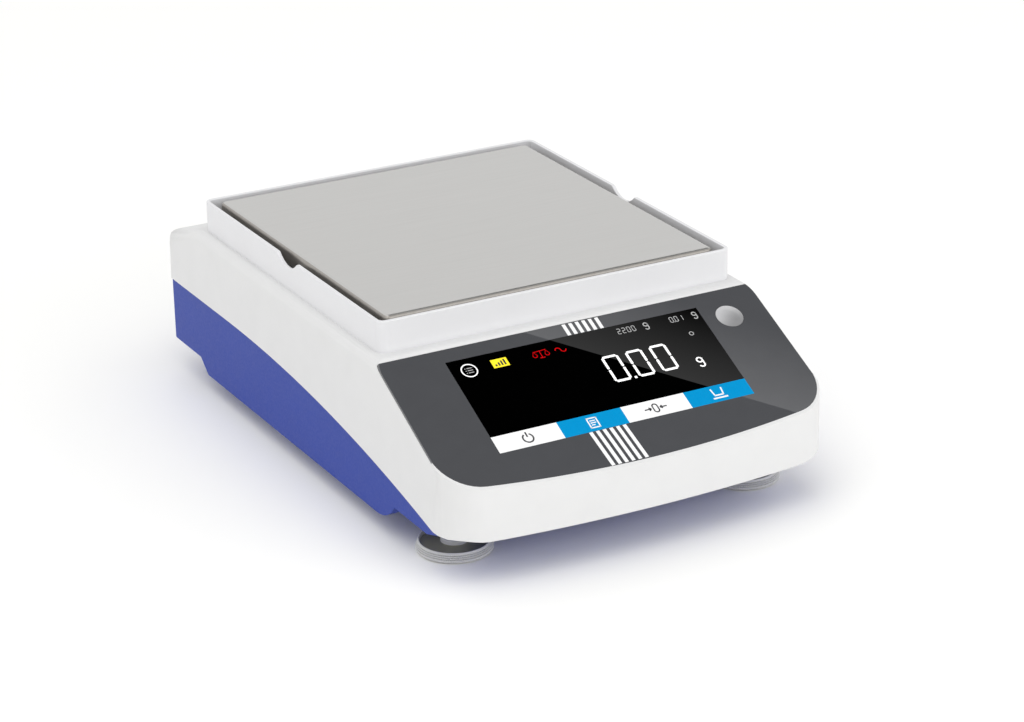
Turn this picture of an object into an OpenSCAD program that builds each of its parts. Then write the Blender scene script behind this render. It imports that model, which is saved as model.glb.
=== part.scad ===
// Laboratory precision balance with a sloping touch display, a square stainless pan
// inside a low draft ring, a force compensation weigh cell and four screw feet.
// Millimetres, +Z up. The origin is the middle of the footprint at table level;
// the display faces -Y and the sockets face +Y.

/* [Housing] */
// Widest width of the housing, at its lower front edge
body_w = 209; // [200:1:240]
// Depth of the housing from front to rear
body_d = 328; // [312:1:350]
// Height of the flat top above the table
top_z = 88; // [85:0.2:108]
// Depth of the sloping display part in front of the flat top
slope_run = 84.2; // [80:0.2:96]
// Height of the front edge where the slope ends
front_top_z = 46.4; // [43:0.2:54]
// Height of the white shell's lower edge at the front
front_low_z = 22.5; // [22:0.1:30]
// Height of the line where white shell and blue base meet at the rear
part_z = 51.1; // [46:0.1:58]
// Level length of that line at the rear
part_level = 73.4; // [62:0.2:90]
// Distance from the front where its arc ends
part_end = 15.6; // [12:0.2:20]
// Lean of the side walls in degrees
side_draft = 1.7; // [0.5:0.1:3]
// Radius of the bow of the front face
bow_r = 700; // [500:10:1500]
// Radius of the two front corners seen from above
front_corner_r = 22; // [12:0.5:22]
// Radius of the two rear corners seen from above
rear_corner_r = 6; // [5:0.5:10]
// Fall of the top behind the draft ring in degrees
rear_fall = 17; // [10:0.5:22]
// Radius of the turn from the falling top to the rear face
rear_r = 6; // [5:0.5:12]
// Radius of the top's side edges
edge_r = 5; // [4:0.5:7]
// Wall of the upper shell
wall = 2.5; // [2:0.1:3]
// Wall of the lower tub
tub_wall = 3.6; // [3.2:0.1:4]

/* [Base] */
// Step from the white side down to the blue base at the parting line
base_step = 0.6; // [0.3:0.1:1]
// Lean of the base's sides, inwards going down, in degrees
base_draft = 0.2; // [0.1:0.1:2]
// Height of the base's floor over the front feet
front_floor_z = 19.6; // [18.5:0.1:22]
// Height of the base's floor over the rear feet
rear_floor_z = 17.2; // [16.5:0.1:19]
// Height of the lowered belly between the feet
belly_z = 10; // [9:0.1:12]
// Distance from the rear to the step down to the belly
belly_rear = 35.9; // [35:0.1:38]
// Distance from the front to where the belly has risen to the front floor
belly_front = 66.1; // [64:0.1:70]
// Length of the rounded front end of the belly
belly_run = 19; // [15:0.5:22]
// Distance from the front to where the front floor starts to rise
rise_in = 33.1; // [32:0.1:35]
// Radius of the base's lower rear edge
rear_low_r = 4; // [3:0.5:6]
// Thickness of the base's floor
floor_t = 2.5; // [2:0.1:3]
// Height of the locating lip above the parting line
lip_h = 5; // [4:0.5:6]

/* [Display panel] */
// Thickness of the panel overlay and the window in it
panel_t = 1.2; // [1:0.1:1.6]
// Distance from the slope's upper corner to the panel's upper edge
panel_margin = 2.9; // [2:0.1:5]
// White lip below the panel's lower edge
panel_lip = 1.7; // [1.4:0.1:4]
// Distance from the body's widest side to the display window with its touch keys
window_side = 35.5; // [33:0.5:40]
// Shift of the display window from the middle to the right
window_x = -1.1; // [-2:0.1:1]
// Height of the display window along the slope
window_h = 59.1; // [50:0.1:62]
// Distance from the panel's upper edge to the window
window_top = 7.9; // [6:0.1:10]
// Wall left under the slope, measured from its surface
slope_wall = 3.5; // [3.2:0.1:4.5]
// Thickness of the display module behind the wall
module_t = 5; // [4:0.5:6]
// Thickness of the circuit boards
board_t = 1.6; // [1.2:0.2:2]

/* [Level] */
// Radius of the spirit level's window
level_r = 7; // [5:0.5:8]
// Distance of the level from the body's side
level_side = 22.7; // [20:0.1:25]
// Distance of the level from the panel's upper edge
level_drop = 17.6; // [14:0.1:24]
// Crown of the level's lens
level_crown = 1.2; // [0.6:0.1:1.6]

/* [Draft ring] */
// Distance from the body's widest side to the inside of the ring
side_ledge = 9.5; // [9:0.1:14]
// Distance from the ring's inside to the rear face
rear_ledge = 39; // [36:0.1:46]
// Strip of flat top between the ring and the slope
front_strip = 4.4; // [3:0.1:8]
// Wall of the ring
ring_wall = 2; // [1.5:0.1:2.4]
// Height of the ring
ring_h = 16; // [14:0.5:22]
// Inner corner radius of the ring
ring_r = 2.5; // [2:0.5:6]
// Width of the finger notches in the ring's sides
notch_w = 24; // [20:1:32]
// Depth of the finger notches
notch_h = 4.8; // [4.5:0.1:6]
// Height of the step on the housing that holds the ring in place
plateau_h = 1.5; // [1:0.1:2]

/* [Pan] */
// Gap between pan and ring at the sides
pan_gap_x = 4.5; // [3.5:0.1:6]
// Gap between pan and ring at the front and rear
pan_gap_y = 4; // [3.5:0.1:6]
// Sheet thickness of the pan
pan_t = 1; // [0.8:0.1:1.5]
// Depth of the pan's turned-down rim
pan_rim = 8; // [6:0.5:9]
// Radius of the pan's upper edges
pan_edge_r = 1.7; // [1.2:0.1:2.5]
// Distance of the pan's top below the ring's rim
pan_drop = 0.2; // [0:0.1:1]
// Thickness of the pan carrier's arms
carrier_t = 5; // [4:0.5:5.5]
// Radius of the rubber buffers under the pan
buffer_r = 7; // [6:0.5:9]
// Distance of the buffers from the pan's corners
buffer_inset = 24; // [20:1:30]

/* [Weigh cell] */
// Radius of the load post
post_r = 7; // [6:0.5:9]
// Free gap between the load post and its rubber collar
collar_gap = 2; // [1.5:0.1:2.5]
// Radius of the hole in the housing around the load post
post_hole_r = 12; // [11.5:0.5:15]
// Length of the guides between their flexures
guide_l = 42; // [38:1:46]
// Outer width of the guides
guide_w = 52; // [50:1:58]
// Thickness of the guides' stiff middle
guide_t = 2.4; // [2:0.1:3]
// Thickness of the thin flexures
flexure_t = 0.3; // [0.2:0.1:0.5]
// Short arm of the lever, from its pivot to the coupling
short_arm = 12; // [10:0.5:14]
// Long arm of the lever, from its pivot to the coil
long_arm = 64; // [58:1:66]
// Radius of the lever's pivot
pivot_r = 2; // [1.5:0.1:2.4]
// Radius of the magnet pot
pot_r = 20; // [18:0.5:21]
// Height of the magnet pot
pot_h = 15; // [13:0.5:16]
// Radius of the magnet in the pot
magnet_r = 10; // [8:0.5:10.5]
// Room around the coil in the magnet gap
coil_gap = 1.3; // [1:0.1:1.5]
// Thickness of the coil
coil_t = 3; // [2:0.1:3.2]
// Thickness of the cell's base plate
cell_base_t = 6; // [5:0.5:7]

/* [Feet] */
// Radius of the knurled foot discs
foot_r = 18.75; // [16:0.25:20]
// Height of a foot disc's upper edge above the table
foot_t = 5.8; // [5:0.1:6]
// Radius of the foot's threaded stud
stud_r = 4; // [3:0.5:5]
// Distance of the front feet from the body's widest side
front_foot_side = 24.5; // [22:0.5:28]
// Distance of the front feet from the front
front_foot_in = 50; // [48:0.5:54]
// Distance of the rear feet from the body's widest side
rear_foot_side = 36.5; // [34:0.5:40]
// Distance of the rear feet from the rear
rear_foot_in = 22; // [21.5:0.1:22.5]
// Thickness of the foot pads
pad_t = 1.5; // [1:0.1:2]

/* [Fits] */
// Clearance between a panel or window and its recess
inlay_gap = 0.15; // [0.1:0.05:0.3]
// Gap that keeps moving and seated pieces just apart
rest_gap = 0.3; // [0.25:0.05:0.4]
// Radial clearance of pivots and studs in their bores
running = 0.05; // [0.03:0.01:0.08]
// Radial clearance of screws in clearance holes
screw_gap = 0.3; // [0.2:0.1:0.4]

/* [Hidden] */
$fn = 64;

white = [0.93, 0.93, 0.93];
blue = [0.27, 0.32, 0.62];
panel_grey = [0.31, 0.32, 0.33];
steel = [0.75, 0.74, 0.72];
aluminium = [0.8, 0.81, 0.82];
board_green = [0.1, 0.35, 0.2];
black = [0.06, 0.06, 0.07];
brass = [0.78, 0.62, 0.3];
rubber = [0.12, 0.12, 0.12];

far = 400;
front_y = -body_d / 2;
rear_y = body_d / 2;
apex_y = front_y + slope_run;
slope_a = atan((top_z - front_top_z) / slope_run);
ledge_gap = 1.6;
fall_y = rear_y - rear_ledge + ring_wall + ledge_gap;
ring_w = body_w - 2 * side_ledge;
ring_d = body_d - slope_run - front_strip - ring_wall - rear_ledge;
pan_y = rear_y - rear_ledge - ring_d / 2;
pan_top = top_z + ring_h - pan_drop;
pan_w = ring_w - 2 * pan_gap_x;
pan_d = ring_d - 2 * pan_gap_y;
lip_step = wall + 0.45;
tub_step = base_step + tub_wall;

// The parting line: level at the rear, then one long arc down to the front
part_y0 = rear_y - part_level;
part_y1 = front_y + part_end;
part_run = part_y0 - part_y1;
part_drop = part_z - front_low_z;
part_r = (part_run * part_run + part_drop * part_drop) / (2 * part_drop);

// The belly of the base
belly_y0 = front_y + belly_front;
belly_drop = front_floor_z - belly_z;
belly_r = (belly_run * belly_run + belly_drop * belly_drop) / (2 * belly_drop);
step_y0 = rear_y - belly_rear;
step_y1 = step_y0 - 9;
rise_y0 = front_y + rise_in;
rise_y1 = rise_y0 - 14;
rise_z = front_low_z + 1.5;

// Screws that hold the two shells: x, y, height of the base's floor there and of the joint
pillar_r = 5.5;
pillar_side = 14;
pillar_span = 144;
pillar_in = 13;
pillar_front_side = 44.5;
shell_screws = [for (sx = [-1, 1], p = [
        [body_w / 2 - pillar_side, pan_y - pillar_span / 2, belly_z, part_z - 3],
        [body_w / 2 - pillar_side, pan_y + pillar_span / 2, belly_z, part_z - 3],
        [body_w / 2 - pillar_front_side, front_y + pillar_in, rise_z, rise_z + 13]])
    [sx * p[0], p[1], p[2], p[3]]];
screw_r = 1.7;
pilot_gap = 0.1;
bite = 8;
head_r = 3.2;
head_h = 2.4;
head_sink = 6;

// Feet: x, y and the height of the base's floor there
feet = [
    [-(body_w / 2 - front_foot_side), front_y + front_foot_in, front_floor_z],
    [body_w / 2 - front_foot_side, front_y + front_foot_in, front_floor_z],
    [-(body_w / 2 - rear_foot_side), rear_y - rear_foot_in, rear_floor_z],
    [body_w / 2 - rear_foot_side, rear_y - rear_foot_in, rear_floor_z]];
insert_wall = 2;
insert_h = 13;
insert_z = 0.4;
boss_wall = 2.5;
stud_above = 12;
foot_rim = 2.4;
recess_r = foot_r - foot_rim - 1;
groove = 0.35;
dish = 1.9;

// Weigh cell heights and places along the cell
cell_z = front_floor_z + floor_t + 0.7;
plate_z = cell_z + cell_base_t;
guide_lo = plate_z + 5;
guide_hi = top_z - wall - 9.7;
lever_z = (guide_lo + guide_hi) / 2 - 3;
hanger_d = 16;
flex_free = 3;
rail = 8;
strap = 10;
web = 8;
free_y = pan_y - hanger_d / 2 - flex_free / 2;
fixed_y = free_y - guide_l;
block_d = 14;
block_y1 = fixed_y - flex_free / 2;
block_y0 = block_y1 - block_d;
pivot_y = pan_y - 25.2;
band_y = pivot_y + short_arm;
coil_y = pivot_y - long_arm;
slot_d = 6;
cell_top = guide_hi + 5;
cell_w = 90;
plate_y0 = coil_y - pot_r - 10;
plate_y1 = pan_y + 19;
plate_screw_r = 1.95;
plate_boss_r = 6;
plate_screws = [for (sx = [-1, 1], y = [coil_y - 4, plate_y1 - 9]) [sx * (cell_w / 2 - 7), y]];
block_w = guide_w + 10;
slot = [guide_w + 2 * rest_gap, slot_d + 2, flexure_t + 2 * rest_gap];
toe_t = 4;
toe_w = 10;
toe_z = guide_lo + 8;
lever_h = 8;
lever_w = 12;
lever_end = 4;
lever_room = 4;
lever_y0 = coil_y - 8;
lever_y1 = band_y + lever_end;
cheek_x = 8;
cheek_w = 6;
cheek_d = 12;
stop_x = 20;
stop_r = 3;
band_t = 0.4;
band_w = 6;
band_seat = 2;
vane = [1, pot_r + 6, 4];
fork = [12, 8, 4];
fork_y = coil_y - pot_r - fork[1] / 2 - rest_gap;
pot_wall = 4;
cap_r = magnet_r + 1;
coil_in = cap_r + coil_gap;
coil_out = coil_in + coil_t;
coil_z = plate_z + 6.5;
former_z = plate_z + pot_h + 0.5;
former_t = 1.5;
hanger_z = plate_z + 2;

// Display pieces in the slope's own frame: y runs up the slope, z out of it
window_w = body_w - 2 * window_side;
window_y = -(panel_margin + window_top + window_h / 2);
module_w = window_w + 4;
module_h = window_h + 3;
small_r = 1.15;
small_head_r = 2.4;
small_head_h = 1.8;
small_boss_r = 3.5;
small_bite = 5;
screw_dx = window_w / 2 + 7;
screw_dy = window_h / 2 + 3.5;
module_z = -slope_wall - module_t;
aperture = 4;
vial_gap = 0.6;
vial_rim = [3, 2];
level_x = body_w / 2 - level_side;
level_y = -(panel_margin + level_drop);

// How far the sides have leant inwards where the panel's front corners begin
panel_lean = (front_top_z + front_corner_r * tan(slope_a) - front_low_z) * tan(side_draft);

// Main board and sockets at the rear
board_z = rear_floor_z + floor_t + 8;
board_y1 = rear_y - 8;
board_y0 = plate_y1 + 23.8;
board_d = board_y1 - board_y0;
board_gap = 4.5;
board_w = body_w - 2 * (rear_foot_side + stud_r + insert_wall + boss_wall + board_gap);
hole_in = 7;
board_holes = [for (sx = [-1, 1], p = [
    [board_y0 + hole_in, belly_z], [board_y1 - hole_in, rear_floor_z]])
    [sx * (board_w / 2 - hole_in), p[0], p[1]]];
board_top = board_z + board_t;
// Parts on the board: x, y from its front edge, width, depth, height
chips = [[-8, 26, 16, 16, 1.6], [board_w / 2 - 33, 22, 10, 8, 1.4],
    [board_w / 2 - 33, 40, 8, 6, 1.4], [21 - board_w / 2, board_d - 41.4, 14, 10, 3], [0, 5, 34, 6, 6]];
// Round parts: x, y from the front edge, radius, height
cans = [[19 - board_w / 2, 30, 4, 11], [30 - board_w / 2, 30, 4, 11],
    [board_w / 2 - 15, 34, 6, 7]];
wall_out = rear_y - base_step;
wall_in = rear_y - tub_step;
inlet_x = 19 - board_w / 2;
inlet_r = 4.4;
inlet_body = [9.6, 14, 11];
inlet_z = board_top + inlet_body[2] / 2;
plug_r = 3;
plug_d = 9;
plug_pin_r = 1;
serial_x = 12;
serial_z = board_top + 6;
serial_body = [19, 8, 11.5];
serial_flange = [31, 1, 12.4];
shell_w = 17.4;
shell_h = 9;
shell_r = 2.2;
post_dx = 12.5;
post_hex_r = 2.8;
contact_r = 0.6;
stick_out = 0.5;
contact_dx = 2.76;
contact_dz = 2.84;
contact_d = 4;

// Pan carrier
carrier_z = top_z + plateau_h + 3.3;
carrier_seat = 4;
arm_x = pan_w / 2 - buffer_inset;
arm_y = pan_d / 2 - buffer_inset;
arm_w = 12;
arm_t = 3;
hub_r = 15;
stem_r = 3;

// Points along an arc about c from angle a0 to a1
function arc(c, r, a0, a1, n) =
    [for (k = [0:n]) let (a = a0 + (a1 - a0) * k / n) c + r * [cos(a), sin(a)]];

// Half the width of the white shell at height z
function half_w(z) = body_w / 2 - (z - front_low_z) * tan(side_draft);

// Height of the slope's surface, or of a surface a depth d under it
function slope_z(y, d) = top_z - (apex_y - y) * tan(slope_a) - d / cos(slope_a);

// Side view of the upper shell, i inside its skin and si under the slope
function side_pts(i, si, low) =
    let (yc = rear_y - rear_r,
         zc = top_z - (yc - fall_y) * tan(rear_fall) - rear_r / cos(rear_fall))
    concat([[rear_y - i, low]],
    arc([yc, zc], rear_r - i, 0, 90 - rear_fall, 10),
    [[fall_y - i * tan(rear_fall / 2), top_z - i],
     [apex_y - (i - si / cos(slope_a)) / tan(slope_a), top_z - i],
     [front_y + i, slope_z(front_y + i, si)],
     [front_y + i, low]]);

// Front view of the upper shell, i inside its skin, flared out at its foot
function front_pts(i, low, flare = 0) =
    let (zc = top_z - edge_r, xc = half_w(zc) - edge_r, n = 6)
    concat([[-half_w(low) + i - flare, low], [half_w(low) - i + flare, low]],
        arc([xc, zc], edge_r - i, 0, 90, n),
        arc([-xc, zc], edge_r - i, 90, 180, n));

// Plan view, i inside the skin: bowed front, round corners, flat rear
function plan_pts(i) =
    let (xf = body_w / 2 - front_corner_r,
         yb = front_y + bow_r,
         yf = yb - sqrt(pow(bow_r - front_corner_r, 2) - xf * xf),
         turn = atan2(yf - yb, xf),
         xr = body_w / 2 - rear_corner_r,
         yr = rear_y - rear_corner_r)
    concat(
        arc([xr, yr], rear_corner_r - i, 90, 0, 6),
        arc([xf, yf], front_corner_r - i, 0, turn, 10),
        arc([0, yb], bow_r - i, turn, -180 - turn, 20),
        arc([-xf, yf], front_corner_r - i, -180 - turn, -180, 10),
        arc([-xr, yr], rear_corner_r - i, 180, 90, 6));

// Area below the parting line, raised by up, down to height low
function parting_pts(up, low) =
    let (turn = asin(part_run / part_r), c = [part_y0, part_z - part_r + up])
    concat([[rear_y + far, low], [rear_y + far, part_z + up]],
        arc(c, part_r, 90, 90 + turn, 18),
        [[front_y - far, front_low_z + up], [front_y - far, low]]);

// Underside of the base raised by i, closed at height high
function under_pts(i, high) =
    let (zc = belly_z + belly_r,
         turn = acos((belly_r - belly_drop - i) / (belly_r - i)))
    concat([[rear_y - base_step - i, high]],
        arc([rear_y - base_step - rear_low_r, rear_floor_z + rear_low_r], rear_low_r - i,
            0, -90, 6),
        [[step_y0 - i, rear_floor_z + i], [step_y1 - i, belly_z + i]],
        arc([belly_y0 + belly_run, zc], belly_r - i, 270, 270 - turn, 8),
        [[rise_y0, front_floor_z + i], [rise_y1, rise_z + i],
         [front_y - far, rise_z + i], [front_y - far, high]]);

// Front view of the base, i inside the white side at the rear parting line
function base_front_pts(i) =
    let (x1 = half_w(part_z) - i, t = tan(base_draft))
    [[-x1 + t * part_z, 0], [x1 - t * part_z, 0],
     [x1 + t * far / 10, part_z + far / 10], [-x1 - t * far / 10, part_z + far / 10]];

// Extrudes a side view across the body
module across(w = far) { rotate([90, 0, 90]) linear_extrude(w, center = true) children(); }

// Extrudes a front view along the body
module along(d = 2 * far) { rotate([90, 0, 0]) linear_extrude(d, center = true) children(); }

// Puts children in the slope's frame, at its upper corner
module on_slope() { translate([0, apex_y, top_z]) rotate([slope_a, 0, 0]) children(); }

// Rounded rectangle with true arcs
module round_rect(w, d, r) {
    square([w - 2 * r, d], center = true);
    square([w, d - 2 * r], center = true);
    for (sx = [-1, 1], sy = [-1, 1])
        translate([sx * (w / 2 - r), sy * (d / 2 - r)]) circle(r);
}

// Block standing on z = 0, centred on x and y
module block(size) { translate([0, 0, size[2] / 2]) cube(size, center = true); }

// Body of the upper shell, i inside its skin
module shell_form(i, si, low) {
    intersection() {
        across() polygon(side_pts(i, si, low));
        along() polygon(front_pts(i, low));
        linear_extrude(top_z + far) polygon(plan_pts(i));
        // Rounds the side edges of the falling top
        translate([0, fall_y, top_z]) rotate([-rear_fall, 0, 0]) translate([0, 0, -top_z])
            along() polygon(front_pts(i, -far, far / 4));
    }
}

// Body of the base, i inside the white side
module base_form(i, up) {
    intersection() {
        across() polygon(under_pts(0, part_z + far / 10));
        across() polygon(parting_pts(up, -1));
        along() polygon(base_front_pts(i));
        linear_extrude(part_z + far / 10) polygon(plan_pts(i));
    }
}

module top_housing() color(white) difference() {
    union() {
        difference() {
            shell_form(0, 0, 0);
            shell_form(wall, slope_wall, -1);
            across() polygon(parting_pts(0, -far));
        }
        // Step that the draft ring sits around
        translate([0, pan_y, top_z - wall / 2]) linear_extrude(wall / 2 + plateau_h)
            round_rect(ring_w - 2 * rest_gap, ring_d - 2 * rest_gap, ring_r);
        // Pillars for the screws that come up through the base
        intersection() {
            for (p = shell_screws)
                translate([p[0], p[1], p[3]]) cylinder(r = pillar_r, h = top_z);
            shell_form(wall / 2, slope_wall / 2, 0);
        }
        // Stand-offs for the display board under the slope
        on_slope() for (sx = [-1, 1], sy = [-1, 1])
            translate([window_x + sx * screw_dx, window_y + sy * screw_dy, module_z])
                cylinder(r = small_boss_r, h = module_t + 1);
    }
    // Hole for the load post
    translate([0, pan_y, top_z - 2 * wall])
        cylinder(r = post_hole_r, h = 2 * wall + plateau_h + 1);
    // Recess for the panel, open at the sides, closed by the lip at the front
    intersection() {
        on_slope() translate([-far / 2, -far / 2 - panel_margin + inlay_gap, -panel_t])
            cube([far, far / 2, panel_t + 5]);
        translate([0, panel_lip - panel_lean, 0])
            linear_extrude(top_z + 5) polygon(plan_pts(panel_lean - inlay_gap));
    }
    on_slope() {
        translate([window_x, window_y, -2 * slope_wall])
            block([window_w - 2 * aperture, window_h - 2 * aperture, 3 * slope_wall]);
        translate([level_x, level_y, -2 * slope_wall])
            cylinder(r = level_r + rest_gap, h = 3 * slope_wall);
        for (sx = [-1, 1], sy = [-1, 1])
            translate([window_x + sx * screw_dx, window_y + sy * screw_dy, module_z - 1])
                cylinder(r = small_r + running, h = small_bite + 1);
    }
    for (p = shell_screws)
        translate([p[0], p[1], p[3] - 1]) cylinder(r = screw_r + pilot_gap, h = bite + 2);
}

module bottom_housing() color(blue) difference() {
    union() {
        difference() {
            union() {
                base_form(base_step, 0);
                base_form(lip_step, lip_h);
            }
            intersection() {
                across() polygon(under_pts(floor_t, top_z));
                along() polygon(base_front_pts(tub_step));
                linear_extrude(top_z) polygon(plan_pts(tub_step));
            }
        }
        intersection() {
            union() {
                for (p = shell_screws)
                    translate([p[0], p[1], 0]) cylinder(r = pillar_r, h = p[3]);
                for (p = feet) translate([p[0], p[1], 0])
                    cylinder(r = stud_r + insert_wall + boss_wall, h = p[2] + insert_z + insert_h);
                for (p = plate_screws) translate([p[0], p[1], 0])
                    cylinder(r = plate_boss_r, h = cell_z);
                for (p = board_holes) translate([p[0], p[1], 0])
                    cylinder(r = small_boss_r, h = board_z);
            }
            across() polygon(under_pts(0, top_z));
            along() polygon(base_front_pts(tub_step - 1));
        }
    }
    for (p = shell_screws) translate([p[0], p[1], 0]) {
        cylinder(r = head_r + screw_gap, h = p[2] + head_sink);
        cylinder(r = screw_r + screw_gap, h = p[3] + 1);
    }
    for (p = feet) translate([p[0], p[1], 0]) {
        cylinder(r = stud_r + insert_wall, h = p[2] + insert_z + insert_h + 1);
    }
    for (p = plate_screws) translate([p[0], p[1], belly_z + floor_t])
        cylinder(r = plate_screw_r + running, h = cell_z);
    for (p = board_holes) translate([p[0], p[1], p[2] + floor_t])
        cylinder(r = small_r + running, h = board_z);
    // Openings for the sockets in the rear wall
    translate([inlet_x, wall_in - 1, inlet_z]) rotate([-90, 0, 0])
        cylinder(r = inlet_r + rest_gap, h = tub_wall + 3);
    translate([serial_x, wall_in - 1, serial_z]) rotate([-90, 0, 0]) {
        linear_extrude(tub_wall + 3)
            round_rect(shell_w + 2 * rest_gap, shell_h + 2 * rest_gap, shell_r + rest_gap);
        for (sx = [-1, 1]) translate([sx * post_dx, 0, 0])
            cylinder(r = post_hex_r + rest_gap, h = tub_wall + 3);
    }
}

module control_panel() color(panel_grey) difference() {
    intersection() {
        shell_form(rest_gap / 2, 0, 0);
        on_slope() translate([-far / 2, -far / 2 - panel_margin, -panel_t])
            cube([far, far / 2, panel_t]);
        translate([0, panel_lip - panel_lean, 0])
            linear_extrude(top_z + 5) polygon(plan_pts(panel_lean));
    }
    on_slope() {
        translate([window_x, window_y, -2 * panel_t]) block([window_w, window_h, 4 * panel_t]);
        translate([level_x, level_y, -2 * panel_t])
            cylinder(r = level_r + inlay_gap, h = 4 * panel_t);
    }
}

module display_window() color(black) on_slope() translate([window_x, window_y, -panel_t])
    block([window_w - 2 * inlay_gap, window_h - 2 * inlay_gap, panel_t]);

module display_module() color([0.2, 0.22, 0.24]) on_slope() translate([window_x, window_y, 0]) {
    translate([0, 0, module_z]) block([module_w, module_h, module_t]);
    translate([0, 0, -slope_wall - 1]) block([window_w - 2 * aperture - 2 * rest_gap,
        window_h - 2 * aperture - 2 * rest_gap, slope_wall + 1 - panel_t - rest_gap]);
}

module display_board() color(board_green) on_slope() difference() {
    translate([window_x, window_y, module_z - board_t])
        block([2 * (screw_dx + small_boss_r), 2 * (screw_dy + small_boss_r), board_t]);
    for (sx = [-1, 1], sy = [-1, 1])
        translate([window_x + sx * screw_dx, window_y + sy * screw_dy, module_z - 2 * board_t])
            cylinder(r = small_r + screw_gap, h = 3 * board_t);
}

module display_screws() color(steel) on_slope() for (sx = [-1, 1], sy = [-1, 1])
    translate([window_x + sx * screw_dx, window_y + sy * screw_dy, module_z - board_t]) {
        translate([0, 0, -small_head_h]) cylinder(r = small_head_r, h = small_head_h);
        cylinder(r = small_r, h = board_t + small_bite - 1);
    }

module level_vial() color(aluminium) on_slope() translate([level_x, level_y, 0]) {
    translate([0, 0, -slope_wall - vial_rim[1]])
        cylinder(r = level_r + vial_rim[0], h = vial_rim[1]);
    translate([0, 0, module_z + vial_gap])
        cylinder(r = level_r, h = -module_z - vial_gap - panel_t / 2);
}

module level_lens() color([0.85, 0.86, 0.87]) on_slope() translate([level_x, level_y, 0]) {
    crown_r = (level_r * level_r + level_crown * level_crown) / (2 * level_crown);
    intersection() {
        translate([0, 0, -panel_t / 2]) cylinder(r = level_r, h = panel_t + level_crown);
        translate([0, 0, level_crown - crown_r]) sphere(crown_r, $fn = 96);
    }
}

module main_board() color(board_green) difference() {
    translate([0, (board_y0 + board_y1) / 2, board_z])
        block([board_w, board_d, board_t]);
    for (p = board_holes) translate([p[0], p[1], board_z - 1])
        cylinder(r = small_r + screw_gap, h = board_t + 2);
}

module board_parts() color(black) translate([0, board_y0, board_top]) {
    for (c = chips) translate([c[0], c[1], 0]) block([c[2], c[3], c[4]]);
    for (c = cans) translate([c[0], c[1], 0]) cylinder(r = c[2], h = c[3]);
}

module board_screws() color(steel) for (p = board_holes)
    translate([p[0], p[1], board_top]) {
        cylinder(r = small_head_r, h = small_head_h);
        translate([0, 0, -board_t - small_bite])
            cylinder(r = small_r, h = board_t + small_bite);
    }

module power_inlet() color(black) difference() {
    union() {
        translate([inlet_x, wall_in - rest_gap - inlet_body[1] / 2, board_top])
            block(inlet_body);
        translate([inlet_x, wall_in - 1, inlet_z]) rotate([-90, 0, 0])
            cylinder(r = inlet_r, h = tub_wall + 1);
    }
    translate([inlet_x, wall_out - plug_d, inlet_z]) rotate([-90, 0, 0]) difference() {
        cylinder(r = plug_r, h = plug_d + 1);
        translate([0, 0, -1]) cylinder(r = plug_pin_r, h = plug_d);
    }
}

module serial_socket() color(steel) translate([serial_x, 0, serial_z]) difference() {
    union() {
        translate([0, wall_in - rest_gap - 1 - serial_body[1] / 2, board_top - serial_z])
            block(serial_body);
        translate([0, wall_in - rest_gap - serial_flange[1] / 2, 0])
            cube(serial_flange, center = true);
        translate([0, wall_in - 1, 0]) rotate([-90, 0, 0]) {
            linear_extrude(tub_wall + 1 + stick_out) round_rect(shell_w, shell_h, shell_r);
            for (sx = [-1, 1]) translate([sx * post_dx, 0, 0])
                cylinder(r = post_hex_r, h = tub_wall + 1 + stick_out, $fn = 6);
        }
    }
    for (row = [0, 1], k = [0:4 - row])
        translate([(k - 2 + row / 2) * contact_dx, wall_out - contact_d, (0.5 - row) * contact_dz])
            rotate([-90, 0, 0]) cylinder(r = contact_r, h = 2 * contact_d);
}

// Rubber collar pressed in the hole around the load post
module dust_collar() color(rubber) translate([0, pan_y, 0]) rotate_extrude()
    polygon([[post_r + collar_gap, top_z - wall], [post_hole_r - running, top_z - wall],
        [post_hole_r - running, top_z + plateau_h], [post_hole_r + 1.5, top_z + plateau_h],
        [post_hole_r + 1.5, top_z + plateau_h + 1.2], [post_r + collar_gap, top_z + plateau_h + 2]]);

module housing_screws() color(steel) for (p = shell_screws) translate([p[0], p[1], 0]) {
    translate([0, 0, p[2] + head_sink - head_h]) cylinder(r = head_r, h = head_h);
    translate([0, 0, p[2] + head_sink]) cylinder(r = screw_r, h = p[3] + bite - p[2] - head_sink);
}

module foot_inserts() color(brass) for (p = feet)
    translate([p[0], p[1], p[2] + insert_z]) difference() {
        cylinder(r = stud_r + insert_wall, h = insert_h);
        translate([0, 0, -1]) cylinder(r = stud_r + running, h = insert_h + 2);
    }

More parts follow.
